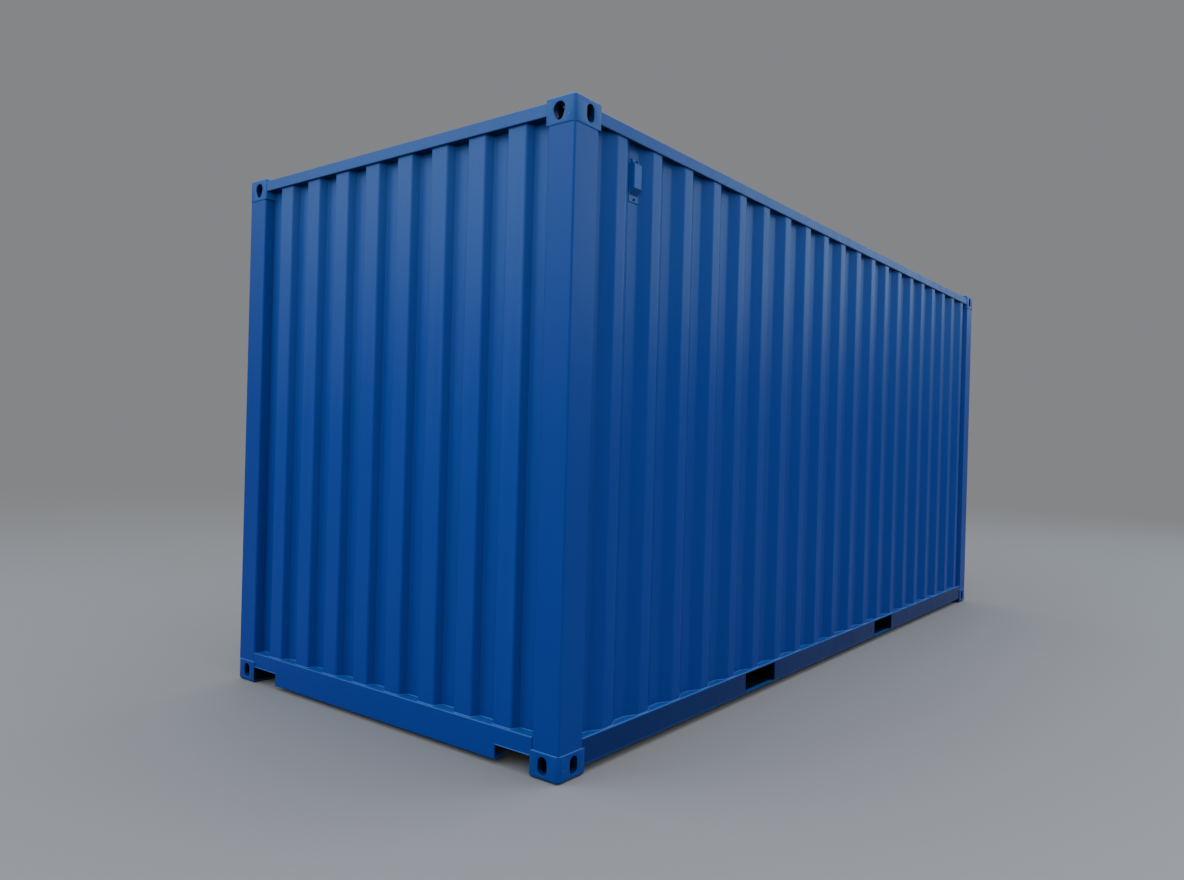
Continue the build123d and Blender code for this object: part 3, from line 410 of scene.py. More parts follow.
@dataclass(frozen=True)
class Plywood(Finish):
    """Oiled hardwood plywood in boards across the floor."""

    dark: str = "#4A2A17"
    light: str = "#8A5530"
    tones_at: Pair = (0.32, 0.72)
    roughness: float = 0.6
    grain_mm: Pair = (333.333, 5)
    pore_mm: float = 0.5
    board_mm: float = 1160
    joint_mm: float = 1.2

    def dress(self, tree: Tree) -> None:
        """Gives plywood its long grain and the joints between boards.

        Args:
            tree: the material's tree.
        """
        coords = add_node(tree, "ShaderNodeTexCoord").outputs["Object"]
        along, across = (per_metre(size) for size in self.grain_mm)
        drawn = add_node(tree, "ShaderNodeMapping", {"Vector": coords, "Scale": (along, across, across)})
        figure = {"Vector": drawn, "Scale": 1.0, "Detail": 6.0, "Distortion": 0.4}
        grain = add_node(tree, "ShaderNodeTexNoise", figure)
        boards = {
            "Vector": coords,
            "Color1": (1, 1, 1, 1),
            "Color2": (0.86, 0.86, 0.86, 1),
            "Mortar": (0.12, 0.12, 0.12, 1),
            "Scale": 1.0,
            "Mortar Size": self.joint_mm * MM,
            "Brick Width": 2 * self.board_mm * MM,
            "Row Height": self.board_mm * MM,
        }
        ramp = add_node(tree, "ShaderNodeValToRGB", {"Fac": grain})
        for stop, place, tone in zip(ramp.color_ramp.elements, self.tones_at, (self.dark, self.light)):
            stop.position, stop.color = place, linear(tone)
        both = {SHARE: 1.0, BELOW: ramp, ABOVE: add_node(tree, "ShaderNodeTexBrick", boards)}
        colour = add_node(tree, "ShaderNodeMix", both, data_type="RGBA", blend_type="MULTIPLY")
        pores = {"Height": grain, "Strength": 0.25, "Distance": self.pore_mm * MM}
        looks = {
            "Base Color": colour.outputs[MIXED],
            "Roughness": self.roughness,
            "Normal": add_node(tree, "ShaderNodeBump", pores),
        }
        feed(tree, tree.nodes[SHADER], looks)


@dataclass(frozen=True)
class StudioPaper(Finish):
    """Plain matt studio floor that runs into the backdrop with no edge."""

    tone: str = "#939497"
    backdrop: str = "#86878A"
    gloss: Pair = (0.55, 0.7)
    cloud_mm: float = 2500
    fade_from: float = 8
    fade_to: float = 26

    def dress(self, tree: Tree) -> None:
        """Gives the floor a very faint cloud, and fades it to the backdrop far away.

        Args:
            tree: the material's tree.
        """
        coords = add_node(tree, "ShaderNodeTexCoord").outputs["Object"]
        faint = {"Vector": coords, "Scale": per_metre(self.cloud_mm)}
        cloud = add_node(tree, "ShaderNodeTexNoise", faint)
        gloss = {"Value": cloud, "To Min": self.gloss[0], "To Max": self.gloss[1]}
        sheen = add_node(tree, "ShaderNodeMapRange", gloss)
        shader = tree.nodes[SHADER]
        feed(tree, shader, {"Base Color": linear(self.tone), "Roughness": sheen})
        away = add_node(tree, "ShaderNodeVectorMath", {0: coords}, operation="LENGTH").outputs["Value"]
        reach = {"Value": away, "From Min": self.fade_from, "From Max": self.fade_to}
        fade = add_node(tree, "ShaderNodeMapRange", reach, interpolation_type="SMOOTHSTEP")
        far = add_node(tree, "ShaderNodeEmission", {"Color": linear(self.backdrop)})
        both = add_node(tree, "ShaderNodeMixShader", {0: fade, 1: shader, 2: far})
        feed(tree, tree.nodes["Material Output"], {"Surface": both})


# Paint on pressed wall sheet: smooth, so light glides over it in long soft gradients
WALL_PAINT = Topcoat("sprayed_topcoat_on_sheet", "#00318C", "#043890", "#1D4793", Grain.SHEET)
# The front wall and the rail above it are lighter at the top than the side walls: part chalk fade, part
# painted sheen
FRONT_PAINT = Topcoat("chalked_topcoat_on_front", "#00328E", "#093E96", "#2F569D", Grain.SHEET)
# Paint on the frame's thicker plate: the same coat with flatter, calmer reflections
FRAME_PAINT = Topcoat("sprayed_topcoat_on_plate", "#00318C", "#043890", "#1C4694", Grain.PLATE)
# The long base rails are darkened between their bends by a band of painted shade
RAIL_PAINT = replace(FRAME_PAINT, name="splashed_topcoat_on_rail", painted_shade_band_mm=(44, 156))
# Paint on welds and on the rails' bends: paler than the walls, part dust and part painted highlight, most
# where it faces up
WELD_PAINT = Topcoat(
    "chalked_topcoat_on_weld", "#0A409C", "#0E469E", "#1C4C9E", Grain.PLATE, chalk_and_highlight="#4C84CE"
)
# Paint on cast steel: the sand's grit shows through the coat as small sparkles
CASTING_PAINT = Topcoat(
    "sprayed_topcoat_on_casting",
    "#01338A",
    "#043C93",
    "#27549C",
    Grain.CAST,
    chalk_and_highlight="#3F79C4",
    scuff_and_highlight_share=0.45,
)
# The roof casting over the left rear post gets pale patches: a painted highlight
HIGHLIT_CASTING_PAINT = Topcoat(
    "rubbed_topcoat_on_casting",
    "#01338A",
    "#043A90",
    "#164698",
    Grain.CAST,
    scuff_and_highlight="#8FA0BC",
    scuff_and_highlight_share=0.6,
    scuff_and_highlight_from=0.52,
)
# Paint in the slots and on the vents' screws and seals: dark navy, a painted shade
SLOT_PAINT = Topcoat("film_stained_topcoat", "#021742", "#031A48", "#061F50", Grain.CAST, chalk_and_highlight="#123C7C")
# Wax under the base: almost black blue and dull; the same coat is painted shade in the castings' cavities
# and on the base castings' backs
UNDERCOAT_AND_SHADE = Topcoat(
    "wax_undercoat_on_steel", "#070D18", "#0A1322", "#0D182B", Grain.PLATE, chalk_and_highlight="#0E1B30", roughness=0.7
)
# Coat on the moulded vent hoods: a little paler than the walls
HOOD_PAINT = Topcoat("sprayed_topcoat_on_hood", "#06378F", "#0D4094", "#27529F", Grain.CAST)
# Zinc on the lock gear: dull metal whose spangle breaks up what it reflects
ZINC = Galvanised("hot_dip_galvanised_steel")
# Rubber of the door seals: near black, so the joints of the doors read as dark lines
RUBBER = SealRubber("door_seal_rubber")
# Oiled boards of the floor: warm brown and satin, with dark joints
PLYWOOD = Plywood("oiled_hardwood_plywood")
# Matt paper under the container: it takes soft shadows and shows no horizon
PAPER = StudioPaper("studio_floor_paper")


# Mesh helpers


FLAT = math.radians(0.5)
SHARP = math.radians(60)
QUARTER_X, QUARTER_Y, QUARTER_Z = (Matrix.Rotation(math.radians(90), 4, axis) for axis in "XYZ")


def linked(name: str, data: bpy.types.ID | BMesh) -> Object:
    """Adds an object to the scene.

    Args:
        name: its name.
        data: what it holds; a bmesh is turned to a mesh and freed.

    Returns:
        The new object.
    """
    if isinstance(data, BMesh):
        mesh = bpy.data.meshes.new(name)
        data.to_mesh(mesh)
        data.free()
        data = mesh
    made = bpy.data.objects.new(name, data)
    bpy.context.scene.collection.objects.link(made)
    return made


def evaluated(solid: Object) -> BMesh:
    """Copies an object, as its modifiers and bevel leave it, to a bmesh.

    Args:
        solid: the object.

    Returns:
        The new bmesh.
    """
    view = bpy.context.evaluated_depsgraph_get()
    mesh = bpy.data.meshes.new_from_object(solid.evaluated_get(view))
    bm = bmesh.new()
    bm.from_mesh(mesh)
    bpy.data.meshes.remove(mesh)
    return bm


def finish_piece(bm: BMesh, name: str, finish: Finish, smooth_under: float = 0.0) -> Object:
    """Turns a bmesh to a finished piece that rides on the container.

    Args:
        bm: the piece's mesh, in place; it is freed.
        name: the piece's name.
        finish: its surface.
        smooth_under: edges that bend by less than this many degrees are shaded smooth.

    Returns:
        The new object.
    """
    piece = linked(name, bm)
    if smooth_under:
        piece.data.shade_smooth()
        piece.data.set_sharp_from_angle(angle=math.radians(smooth_under))
    piece.data.materials.append(finish.material())
    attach(piece, BODY)
    LOG.info("%s: %d faces", name, len(piece.data.polygons))
    return piece


def box(bm: BMesh, low: Sequence[float], high: Sequence[float]) -> None:
    """Adds a box.

    Args:
        bm: the mesh that gets it.
        low: its lowest corner.
        high: its highest corner.
    """
    centre = (Vector(low) + Vector(high)) / 2
    size = Vector(high) - Vector(low)
    bmesh.ops.create_cube(bm, size=1.0, matrix=Matrix.Translation(centre) @ Matrix.Diagonal((*size, 1.0)))


def bevel(bm: BMesh, edges: Iterable[bmesh.types.BMEdge], width: float, segments: int) -> None:
    """Rounds edges.

    Args:
        bm: the mesh.
        edges: its edges to round.
        width: how far the rounding reaches from each edge.
        segments: how many flats make it.
    """
    bmesh.ops.bevel(
        bm,
        geom=list(edges),
        offset=width,
        offset_type="OFFSET",
        affect="EDGES",
        segments=segments,
        profile=0.5,
        material=-1,
        clamp_overlap=True,
    )


def merge_flat(bm: BMesh, reach: float) -> None:
    """Joins vertices that lie together and faces that lie in one plane.

    Args:
        bm: the mesh.
        reach: how near vertices have to be.
    """
    bmesh.ops.remove_doubles(bm, verts=bm.verts, dist=reach)
    bmesh.ops.dissolve_limit(bm, angle_limit=FLAT, verts=bm.verts, edges=bm.edges, delimit=set())


def cut(body: BMesh, cutters: Sequence[BMesh]) -> BMesh:
    """Cuts solids from a body.

    Args:
        body: the solid that is cut; it is freed.
        cutters: the solids that cut it; they are freed.

    Returns:
        The cut solid.
    """
    made = [linked(f"cut_{i}", bm) for i, bm in enumerate([body, *cutters])]
    for cutter in made[1:]:
        step = made[0].modifiers.new("cut", "BOOLEAN")
        step.operation = "DIFFERENCE"
        step.solver = "EXACT"
        step.object = cutter
    bm = evaluated(made[0])
    for solid in made:
        left = solid.data
        bpy.data.objects.remove(solid)
        bpy.data.meshes.remove(left)
    merge_flat(bm, reach=0.01 * MM)
    return bm


def bead(name: str, paths: Sequence[Sequence[Point]], radius: float, finish: Finish) -> None:
    """Lays a rippled weld bead along open paths.

    Args:
        name: the piece's name.
        paths: the corners of each run.
        radius: half the bead's width.
        finish: its surface.
    """
    ripple, swell = 3 * radius, 0.12
    curve = bpy.data.curves.new(name, "CURVE")
    curve.dimensions = "3D"
    curve.bevel_depth = radius
    curve.bevel_resolution = 1
    curve.use_fill_caps = True
    for path in paths:
        points: list[Vector] = []
        for start, end in zip(path, path[1:]):
            a, b = Vector(start), Vector(end)
            steps = max(1, round((b - a).length / ripple))
            points += [a.lerp(b, i / steps) for i in range(steps)]
        points.append(Vector(path[-1]))
        spline = curve.splines.new("POLY")
        spline.points.add(len(points) - 1)
        for i, (target, point) in enumerate(zip(spline.points, points)):
            target.co = (*point, 1.0)
            target.radius = 1.0 + (swell if i % 2 else -swell)
    rod = linked(name + "_path", curve)
    bm = evaluated(rod)
    bpy.data.objects.remove(rod)
    bpy.data.curves.remove(curve)
    finish_piece(bm, name, finish, smooth_under=50)


# Studio


COOL = "#BEE6FF"


@dataclass(frozen=True)
class SoftBox:
    """A wide soft lamp, in metres and watts."""

    name: str
    place: Point
    aim: Point
    size: Pair
    power: float
    tint: str = "#FFFFFF"
    glossy: bool = True

    def hang(self) -> None:
        """Hangs the lamp, facing its aim."""
        data = bpy.data.lights.new(self.name, "AREA")
        data.shape = "RECTANGLE"
        data.size, data.size_y = self.size
        data.energy = self.power
        data.color = linear(self.tint)[:3]
        lamp = linked(self.name, data)
        lamp.location = self.place
        lamp.rotation_euler = (Vector(self.aim) - Vector(self.place)).to_track_quat("-Z", "Y").to_euler()
        lamp.visible_glossy = self.glossy


@dataclass
class Studio:
    """The pale floor, soft light from above and the photograph's camera."""

    eye: Point = (-5.87138, -3.55278, 1.45126)
    turn: float = 0.659119
    pitch: float = -0.0012424
    roll: float = -0.0265335
    focal_px: float = 884.363
    image_width: int = 1184
    sensor_mm: float = 36
    view_reach: float = 200
    floor_reach: float = 60
    daylight: str = "#EEEDEC"
    lamps: tuple[SoftBox, ...] = (
        SoftBox("overhead", (-1.0, -1.0, 7.0), (-0.5, -0.3, 0.0), (9.0, 7.0), 260),
        SoftBox("front_soft_box", (-11.4, 6.6, 7.0), (-3.0, 0.0, 2.2), (9.0, 6.0), 535, COOL),
        SoftBox("side_soft_box", (11.0, -8.0, 7.2), (0.0, -1.2, 2.2), (12.0, 6.0), 525, COOL),
        SoftBox("corner_fill", (-10.0, -6.0, 4.5), (-2.5, -1.0, 1.2), (7.0, 5.0), 170, glossy=False),
    )

    def build(self) -> None:
        """Makes the floor, world, lamps and camera."""
        self.floor()
        self.world()
        for lamp in self.lamps:
            lamp.hang()
        self.camera()

    def floor(self) -> None:
        """Lays the floor under the castings."""
        bm = bmesh.new()
        bmesh.ops.create_grid(bm, x_segments=1, y_segments=1, size=self.floor_reach)
        floor = linked("studio_floor", bm)
        floor.data.materials.append(PAPER.material())

    def world(self) -> None:
        """Lights softly from all round, and shows a plain pale backdrop."""
        world = bpy.data.worlds.new("studio")
        bpy.context.scene.world = world
        world.use_nodes = True
        tree = world.node_tree
        tree.nodes.clear()
        seen, light = (
            add_node(tree, "ShaderNodeBackground", {"Color": linear(tone), "Strength": 1.0})
            for tone in (PAPER.backdrop, self.daylight)
        )
        rays = add_node(tree, "ShaderNodeLightPath").outputs
        shown = rays["Is Camera Ray"]
        for ray in ("Is Glossy Ray", "Is Transmission Ray"):
            shown = add_node(tree, "ShaderNodeMath", {0: shown, 1: rays[ray]}, operation="MAXIMUM")
        both = add_node(tree, "ShaderNodeMixShader", {0: shown, 1: light, 2: seen})
        add_node(tree, "ShaderNodeOutputWorld", {"Surface": both})

    def camera(self) -> None:
        """Sets the camera at the photograph's place, turn and field of view."""
        level = math.cos(self.pitch)
        forward = Vector((level * math.cos(self.turn), level * math.sin(self.turn), math.sin(self.pitch)))
        right = forward.cross(Vector((0, 0, 1))).normalized()
        down = forward.cross(right)
        image_x = math.cos(self.roll) * right + math.sin(self.roll) * down
        image_y = -math.sin(self.roll) * right + math.cos(self.roll) * down
        turned = Matrix((image_x, -image_y, -forward)).transposed().to_4x4()
        data = bpy.data.cameras.new("photograph_camera")
        data.sensor_fit = "HORIZONTAL"
        data.sensor_width = self.sensor_mm
        data.lens = self.focal_px * self.sensor_mm / self.image_width
        data.clip_end = self.view_reach
        camera = linked("photograph_camera", data)
        camera.matrix_world = Matrix.Translation(Vector(self.eye)) @ turned
        bpy.context.scene.camera = camera


# Corner castings


@dataclass
class CornerCastings:
    """Eight hollow cast corners with slots in their three outer faces.

    Each is made with its outer corner at the origin and its body at minus X, Y and Z.
    """

    size: Point = (178 * MM, 162 * MM, 118 * MM)
    wall: float = 28 * MM
    roof_rounds: Pair = (16 * MM, 9 * MM)
    base_rounds: Pair = (24 * MM, 18 * MM)
    back_round: float = 3 * MM
    rim_round: float = 3.5 * MM
    outer_segments: int = 6
    back_segments: int = 2
    rim_segments: int = 3
    slot_middle: Point = (102.5 * MM, 89.5 * MM, 63 * MM)
    slot_margin: float = 20 * MM
    deck_slot: Pair = (124 * MM, 63.5 * MM)
    side_slot: Pair = (79 * MM, 51 * MM)
    shield_width: float = 65 * MM
    shield_foot: float = 44 * MM
    around: int = 28
    near_axis: float = 0.1 * MM
    near_face: float = 0.05 * MM
    skin: float = 0.5 * MM

    def build(self) -> None:
        """Makes every casting in place of its CAD node."""
        for level, end, side in product(Level, End, Side):
            self.casting(level, end, side)

    def casting(self, level: Level, end: End, side: Side) -> None:
        """Makes one casting.

        Args:
            level: base or roof.
            end: front or rear.
            side: left or right.
        """
        name = f"casting_{level.name}_{end.name}_{side.name}".lower()
        roof = level is Level.TOP
        body = self.block(*(self.roof_rounds if roof else self.base_rounds))
        cutters = [
            self.blank(self.wall),
            self.slot(self.deck_slot, Axis.Z),
            self.slot(self.side_slot, Axis.Y),
            self.shield() if roof else self.slot(self.side_slot, Axis.X),
        ]
        bm = cut(body, cutters)
        self.round_rims(bm)
        for vert in bm.verts:
            vert.co = [min(0.0, max(-reach, place)) for place, reach in zip(vert.co, self.size)]
        self.mark_painted_shade(bm, level)
        signs = (end.value, side.value, level.value)
        place = (end.value * HALF_LENGTH, side.value * HALF_WIDTH, HEIGHT if roof else 0.0)
        bmesh.ops.transform(bm, matrix=Matrix.Diagonal((*signs, 1.0)), verts=bm.verts)
        if math.prod(signs) < 0:
            bmesh.ops.reverse_faces(bm, faces=bm.faces)
        bmesh.ops.translate(bm, vec=place, verts=bm.verts)
        # The roof casting over the left rear post takes the painted highlight
        highlit = (level, end, side) == (Level.TOP, End.REAR, Side.LEFT)
        paint = HIGHLIT_CASTING_PAINT if highlit else CASTING_PAINT
        visual = name.replace("casting", "cast_corner")
        piece = finish_piece(bm, visual, paint, smooth_under=40)
        # Painted shade for the slots' walls, and for the cavity and a base casting's back
        for shade_finish in (SLOT_PAINT, UNDERCOAT_AND_SHADE):
            piece.data.materials.append(shade_finish.material())
        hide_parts(name)

    def mark_painted_shade(self, bm: BMesh, level: Level) -> None:
        """Gives the slots' walls the second material, and the cavity and a base casting's back the third:
        all of them painted shade.

        Args:
            bm: the casting.
            level: base or roof.
        """
        near = self.wall - self.skin
        high, wide = self.side_slot
        slots = {
            Axis.X: {1: self.shield_width, 2: high},
            Axis.Y: {0: wide, 2: high},
            Axis.Z: dict(enumerate(self.deck_slot)),
        }
        for face in bm.faces:
            depth = -face.calc_center_median()
            cavity = all(near < depth[i] < self.size[i] - near for i in range(3))
            back = level is Level.BOTTOM and any(depth[i] > self.size[i] - self.skin for i in (0, 1))
            slot = any(
                self.rim_round + MM < depth[axis.value] < self.wall
                and all(abs(depth[i] - self.slot_middle[i]) < span / 2 + MM for i, span in spans.items())
                for axis, spans in slots.items()
            )
            face.material_index = 2 if cavity or back else int(slot)

    def block(self, upright_round: float, edge_round: float) -> BMesh:
        """Makes the outer block.

        Args:
            upright_round: the rounding of the outer upright edge.
            edge_round: the rounding of the outer horizontal face's edges.

        Returns:
            The block.
        """
        bm = self.blank(0.0)
        upright =[e for e in bm.edges if all(v.co.x > -MM and v.co.y > -MM for v in e.verts)]
        bevel(bm, upright, upright_round, self.outer_segments)
        outer = [e for e in bm.edges if all(v.co.z > -MM for v in e.verts)]
        bevel(bm, outer, edge_round, self.outer_segments)
        below = [e for e in bm.edges if all(v.co.z < -MM for v in e.verts)]
        rest = [e for e in below if e.calc_face_angle(0.0) > SHARP]
        bevel(bm, rest, self.back_round, self.back_segments)
        return bm

    def blank(self, inset: float) -> BMesh:
        """Makes a plain block, the casting's own or the hollow inside.

        Args:
            inset: how far it stays inside the casting's faces.

        Returns:
            The block.
        """
        bm = bmesh.new()
        size = Vector(self.size)
        bmesh.ops.create_cube(bm, size=1.0)
        bmesh.ops.scale(bm, vec=size - Vector((1, 1, 1)) * 2 * inset, verts=bm.verts)
        bmesh.ops.translate(bm, vec=-size / 2, verts=bm.verts)
        return bm

    def slot(self, size: Pair, axis: Axis) -> BMesh:
        """Makes the cutter of a slot with round ends.

        Args:
            size: its length and width.
            axis: the axis that it passes along; the Z slot is long in X, the others in Z.

        Returns:
            The cutter.
        """
        bm = bmesh.new()
        bmesh.ops.create_circle(bm, cap_ends=True, segments=self.around, radius=size[1] / 2)
        reach = (size[0] - size[1]) / 2
        for way in (-1, 1):
            half = [v for v in bm.verts if v.co.y * way > self.near_axis]
            bmesh.ops.translate(bm, vec=(0, way * reach, 0), verts=half)
        return self.through(bm, axis)

    def shield(self) -> BMesh:
        """Makes the cutter of a top casting's end slot: round above, narrow below."""
        bm = bmesh.new()
        bmesh.ops.create_circle(bm, cap_ends=True, segments=self.around, radius=self.shield_width / 2)
        top = self.side_slot[0] / 2 - self.shield_width / 2
        foot = self.side_slot[0] / 2 - self.shield_foot / 2
        narrow = self.shield_foot / self.shield_width
        for vert in bm.verts:
            if vert.co.y > -self.near_axis:
                vert.co.y += top
            else:
                vert.co.x *= narrow
                vert.co.y = vert.co.y * narrow - foot
        return self.through(bm, Axis.X)

    def through(self, bm: BMesh, axis: Axis) -> BMesh:
        """Extrudes a flat outline to a cutter through one outer wall.

        Args:
            bm: the outline, flat in XY, long in Y.
            axis: the axis that it passes along.

        Returns:
            The same bmesh, solid and in place.
        """
        made = bmesh.ops.extrude_face_region(bm, geom=list(bm.faces))
        raised = [v for v in made["geom"] if isinstance(v, bmesh.types.BMVert)]
        bmesh.ops.translate(bm, vec=(0, 0, 2 * self.wall), verts=raised)
        bmesh.ops.translate(bm, vec=(0, 0, -self.wall), verts=bm.verts)
        turns = {Axis.X: QUARTER_Z @ QUARTER_X, Axis.Y: QUARTER_X, Axis.Z: QUARTER_Z}
        bmesh.ops.transform(bm, matrix=turns[axis], verts=bm.verts)
        place = -Vector(self.slot_middle)
        place[axis.value] = 0.0
        bmesh.ops.translate(bm, vec=place, verts=bm.verts)
        bmesh.ops.recalc_face_normals(bm, faces=bm.faces)
        return bm

    def round_rims(self, bm: BMesh) -> None:
        """Rounds the slots' rims where they meet the outer faces.

        Args:
            bm: the cut casting.
        """
        rims = []
        for edge in bm.edges:
            middle = (edge.verts[0].co + edge.verts[1].co) / 2
            outer = sum(all(abs(v.co[i]) < self.near_face for v in edge.verts) for i in range(3))
            inside = all(self.slot_margin - self.size[i] < middle[i] < MM for i in (0, 1))
            if outer == 1 and inside and edge.calc_face_angle(0.0) > SHARP:
                rims.append(edge)
        bevel(bm, rims, self.rim_round, self.rim_segments)


# Pressed sheet


@dataclass
class PressedSheets:
    """Walls, roof and door panels with soft bends in place of sharp ones."""

    nodes: dict[str, Object]
    wall_round: float = 7 * MM
    roof_round: float = 5 * MM
    segments: int = 4
    bends: Pair = (8, 84)

    def build(self) -> None:
        """Rounds the bends of every pressed sheet."""
        for side in Side:
            for part, slot in (("side_wall", "wall_paint"), ("door_panel", "door_paint")):
                node = f"{part}_{side.name.lower()}"
                self.sheet(node, f"pressed_{node}", self.wall_round, WALL_PAINT)
        self.sheet("front_wall", "pressed_front_wall", self.wall_round, FRONT_PAINT)
        self.sheet("roof_panel", "stamped_roof_sheet", self.roof_round, WALL_PAINT)

    def sheet(self, node: str, name: str, width: float, finish: Finish) -> None:
        """Rounds the bends of one sheet.

        Args:
            node: the CAD node that it stands for.
            name: the new piece's name.
            width: how far the rounding reaches from each bend.
            finish: its surface.
        """
        bm = bmesh.new()
        bm.from_mesh(self.nodes[node].data)
        merge_flat(bm, reach=0.02 * MM)
        least, most = (math.radians(bend) for bend in self.bends)
        closed = [edge for edge in bm.edges if len(edge.link_faces) == 2]
        bent = [edge for edge in closed if least < edge.calc_face_angle(0.0) < most]
        bevel(bm, bent, width, self.segments)
        piece = finish_piece(bm, name, finish)
        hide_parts(node)


# Welds


@dataclass(frozen=True)
class RibPattern:
    """The wave of a pressed wall seen from above."""

    reach: float
    first: float
    count: int
    pitch: float
    flat: float
    slope: float
    depth: float

    def corners(self) -> list[Pair]:
        """Returns the wave's corners as places along the wall and depths behind its ribs."""
        points = [(-self.reach, self.depth)]
        for i in range(self.count):
            left = self.first + i * self.pitch
            right = left + self.flat
            points += [(left - self.slope, self.depth), (left, 0.0)]
            points += [(right, 0.0), (right + self.slope, self.depth)]
        return points + [(self.reach, self.depth)]


SIDE_RIBS = RibPattern(
    reach=2851 * MM, first=-2712 * MM, count=20, pitch=284 * MM, flat=72 * MM, slope=68 * MM, depth=36 * MM
)
FRONT_RIBS = RibPattern(
    reach=1066 * MM, first=-930 * MM, count=8, pitch=250 * MM, flat=110 * MM, slope=18 * MM, depth=45.6 * MM
)


@dataclass
class Welds:
    """Beads where walls, rails, posts and castings meet, and pale strips along the base rails' top bends
    and notch lips as painted highlights.
    """

    radius: float = 3 * MM
    casting_radius: float = 3.8 * MM
    bend_radius: float = 2.6 * MM
    front_bend: Pair = (3022.6 * MM, 169 * MM)
    front_reach: float = 1066 * MM
    side_bend: Pair = (1210.8 * MM, 156.8 * MM)
    side_reach: float = 2866 * MM
    rail_face: float = 3025 * MM
    notch: Pair = (1056 * MM, 848 * MM)
    notch_top: float = 92 * MM
    side_face: float = 1206 * MM
    front_face: float = 3012 * MM
    side_levels: Pair = (160 * MM, 2808 * MM)
    front_levels: Pair = (172 * MM, 2820 * MM)
    post_face: Pair = (3024.4 * MM, 1214.4 * MM)
    post_corner: float = 6 * MM
    post_levels: Pair = (118 * MM, 2778 * MM)

    def build(self) -> None:
        """Lays every bead."""
        for side in Side:
            runs = [
                [(x, side.value * (self.side_face - depth), level) for x, depth in SIDE_RIBS.corners()]
                for level in self.side_levels
            ]
            bead(f"side_wall_welds_{side.name.lower()}", runs, self.radius, WELD_PAINT)
        runs = [
            [(-self.front_face + depth, y, level) for y, depth in FRONT_RIBS.corners()]
            for level in self.front_levels
        ]
        bead("front_wall_welds", runs, self.radius, WELD_PAINT)
        bead("casting_welds", self.casting_runs(), self.casting_radius, WELD_PAINT)
        # Pale strips along the rails' top bends and notch lips: painted highlights
        bead("rail_bends", self.bend_highlight_runs(), self.bend_radius, WELD_PAINT)

    def bend_highlight_runs(self) -> list[list[Point]]:
        """Returns the pale strips, painted highlights, along the base rails' top bends and over the lips of
        the front rail's notches.
        """
        x, z = -self.front_bend[0], self.front_bend[1]
        runs = [[(x, -self.front_reach, z), (x, self.front_reach, z)]]
        for side in Side:
            y, z = side.value * self.side_bend[0], self.side_bend[1]
            runs.append([(-self.side_reach, y, z), (self.side_reach, y, z)])
            runs.append([(-self.rail_face, side.value * place, self.notch_top) for place in self.notch])
        return runs

    def casting_runs(self) -> list[list[Point]]:
        """Returns the runs round the posts where they stand on and carry the castings."""
        runs = []
        x = self.post_face[0]
        for level, side in product(self.post_levels, Side):
            y = side.value * self.post_face[1]
            front = [
                (-x, side.value * self.front_reach, level),
                (-x, y - side.value * self.post_corner, level),
                (-x + self.post_corner, y, level),
                (-self.side_reach, y, level),
            ]
            runs += [front, [(self.side_reach, y, level), (x, y, level)]]
        return runs


# Fixings


# The sides of a round fixing and of a hexagonal one
ROUND, HEXAGON = 20, 6


@dataclass(frozen=True)
class Bolts:
    """Hexagon bolts with washers; the last four sizes are shares of the bolt's own."""

    across: float
    head: float
    washer: float = 2 * MM
    washer_foot: float = 1.3
    washer_rim: float = 1.25
    shoulder: float = 0.8
    crown: float = 0.82

    def add(self, bm: BMesh, place: Point, turn: Matrix) -> None:
        """Adds one bolt.

        Args:
            bm: the mesh that gets it.
            place: the middle of the washer's seat.
            turn: the turn that brings Z to the bolt's outward way.
        """
        half = self.across / 2
        corner = self.washer + self.head * self.shoulder
        for sides, foot, tip, low, high in (
            (ROUND, self.washer_foot, self.washer_rim, 0.0, self.washer),
            (HEXAGON, 1.0, 1.0, self.washer, corner),
            (HEXAGON, 1.0, self.crown, corner, self.washer + self.head),
        ):
            bmesh.ops.create_cone(
                bm,
                cap_ends=True,
                segments=sides,
                radius1=foot * half,
                radius2=tip * half,
                depth=high - low,
                matrix=Matrix.Translation(place) @ turn @ Matrix.Translation((0, 0, (low + high) / 2)),
            )


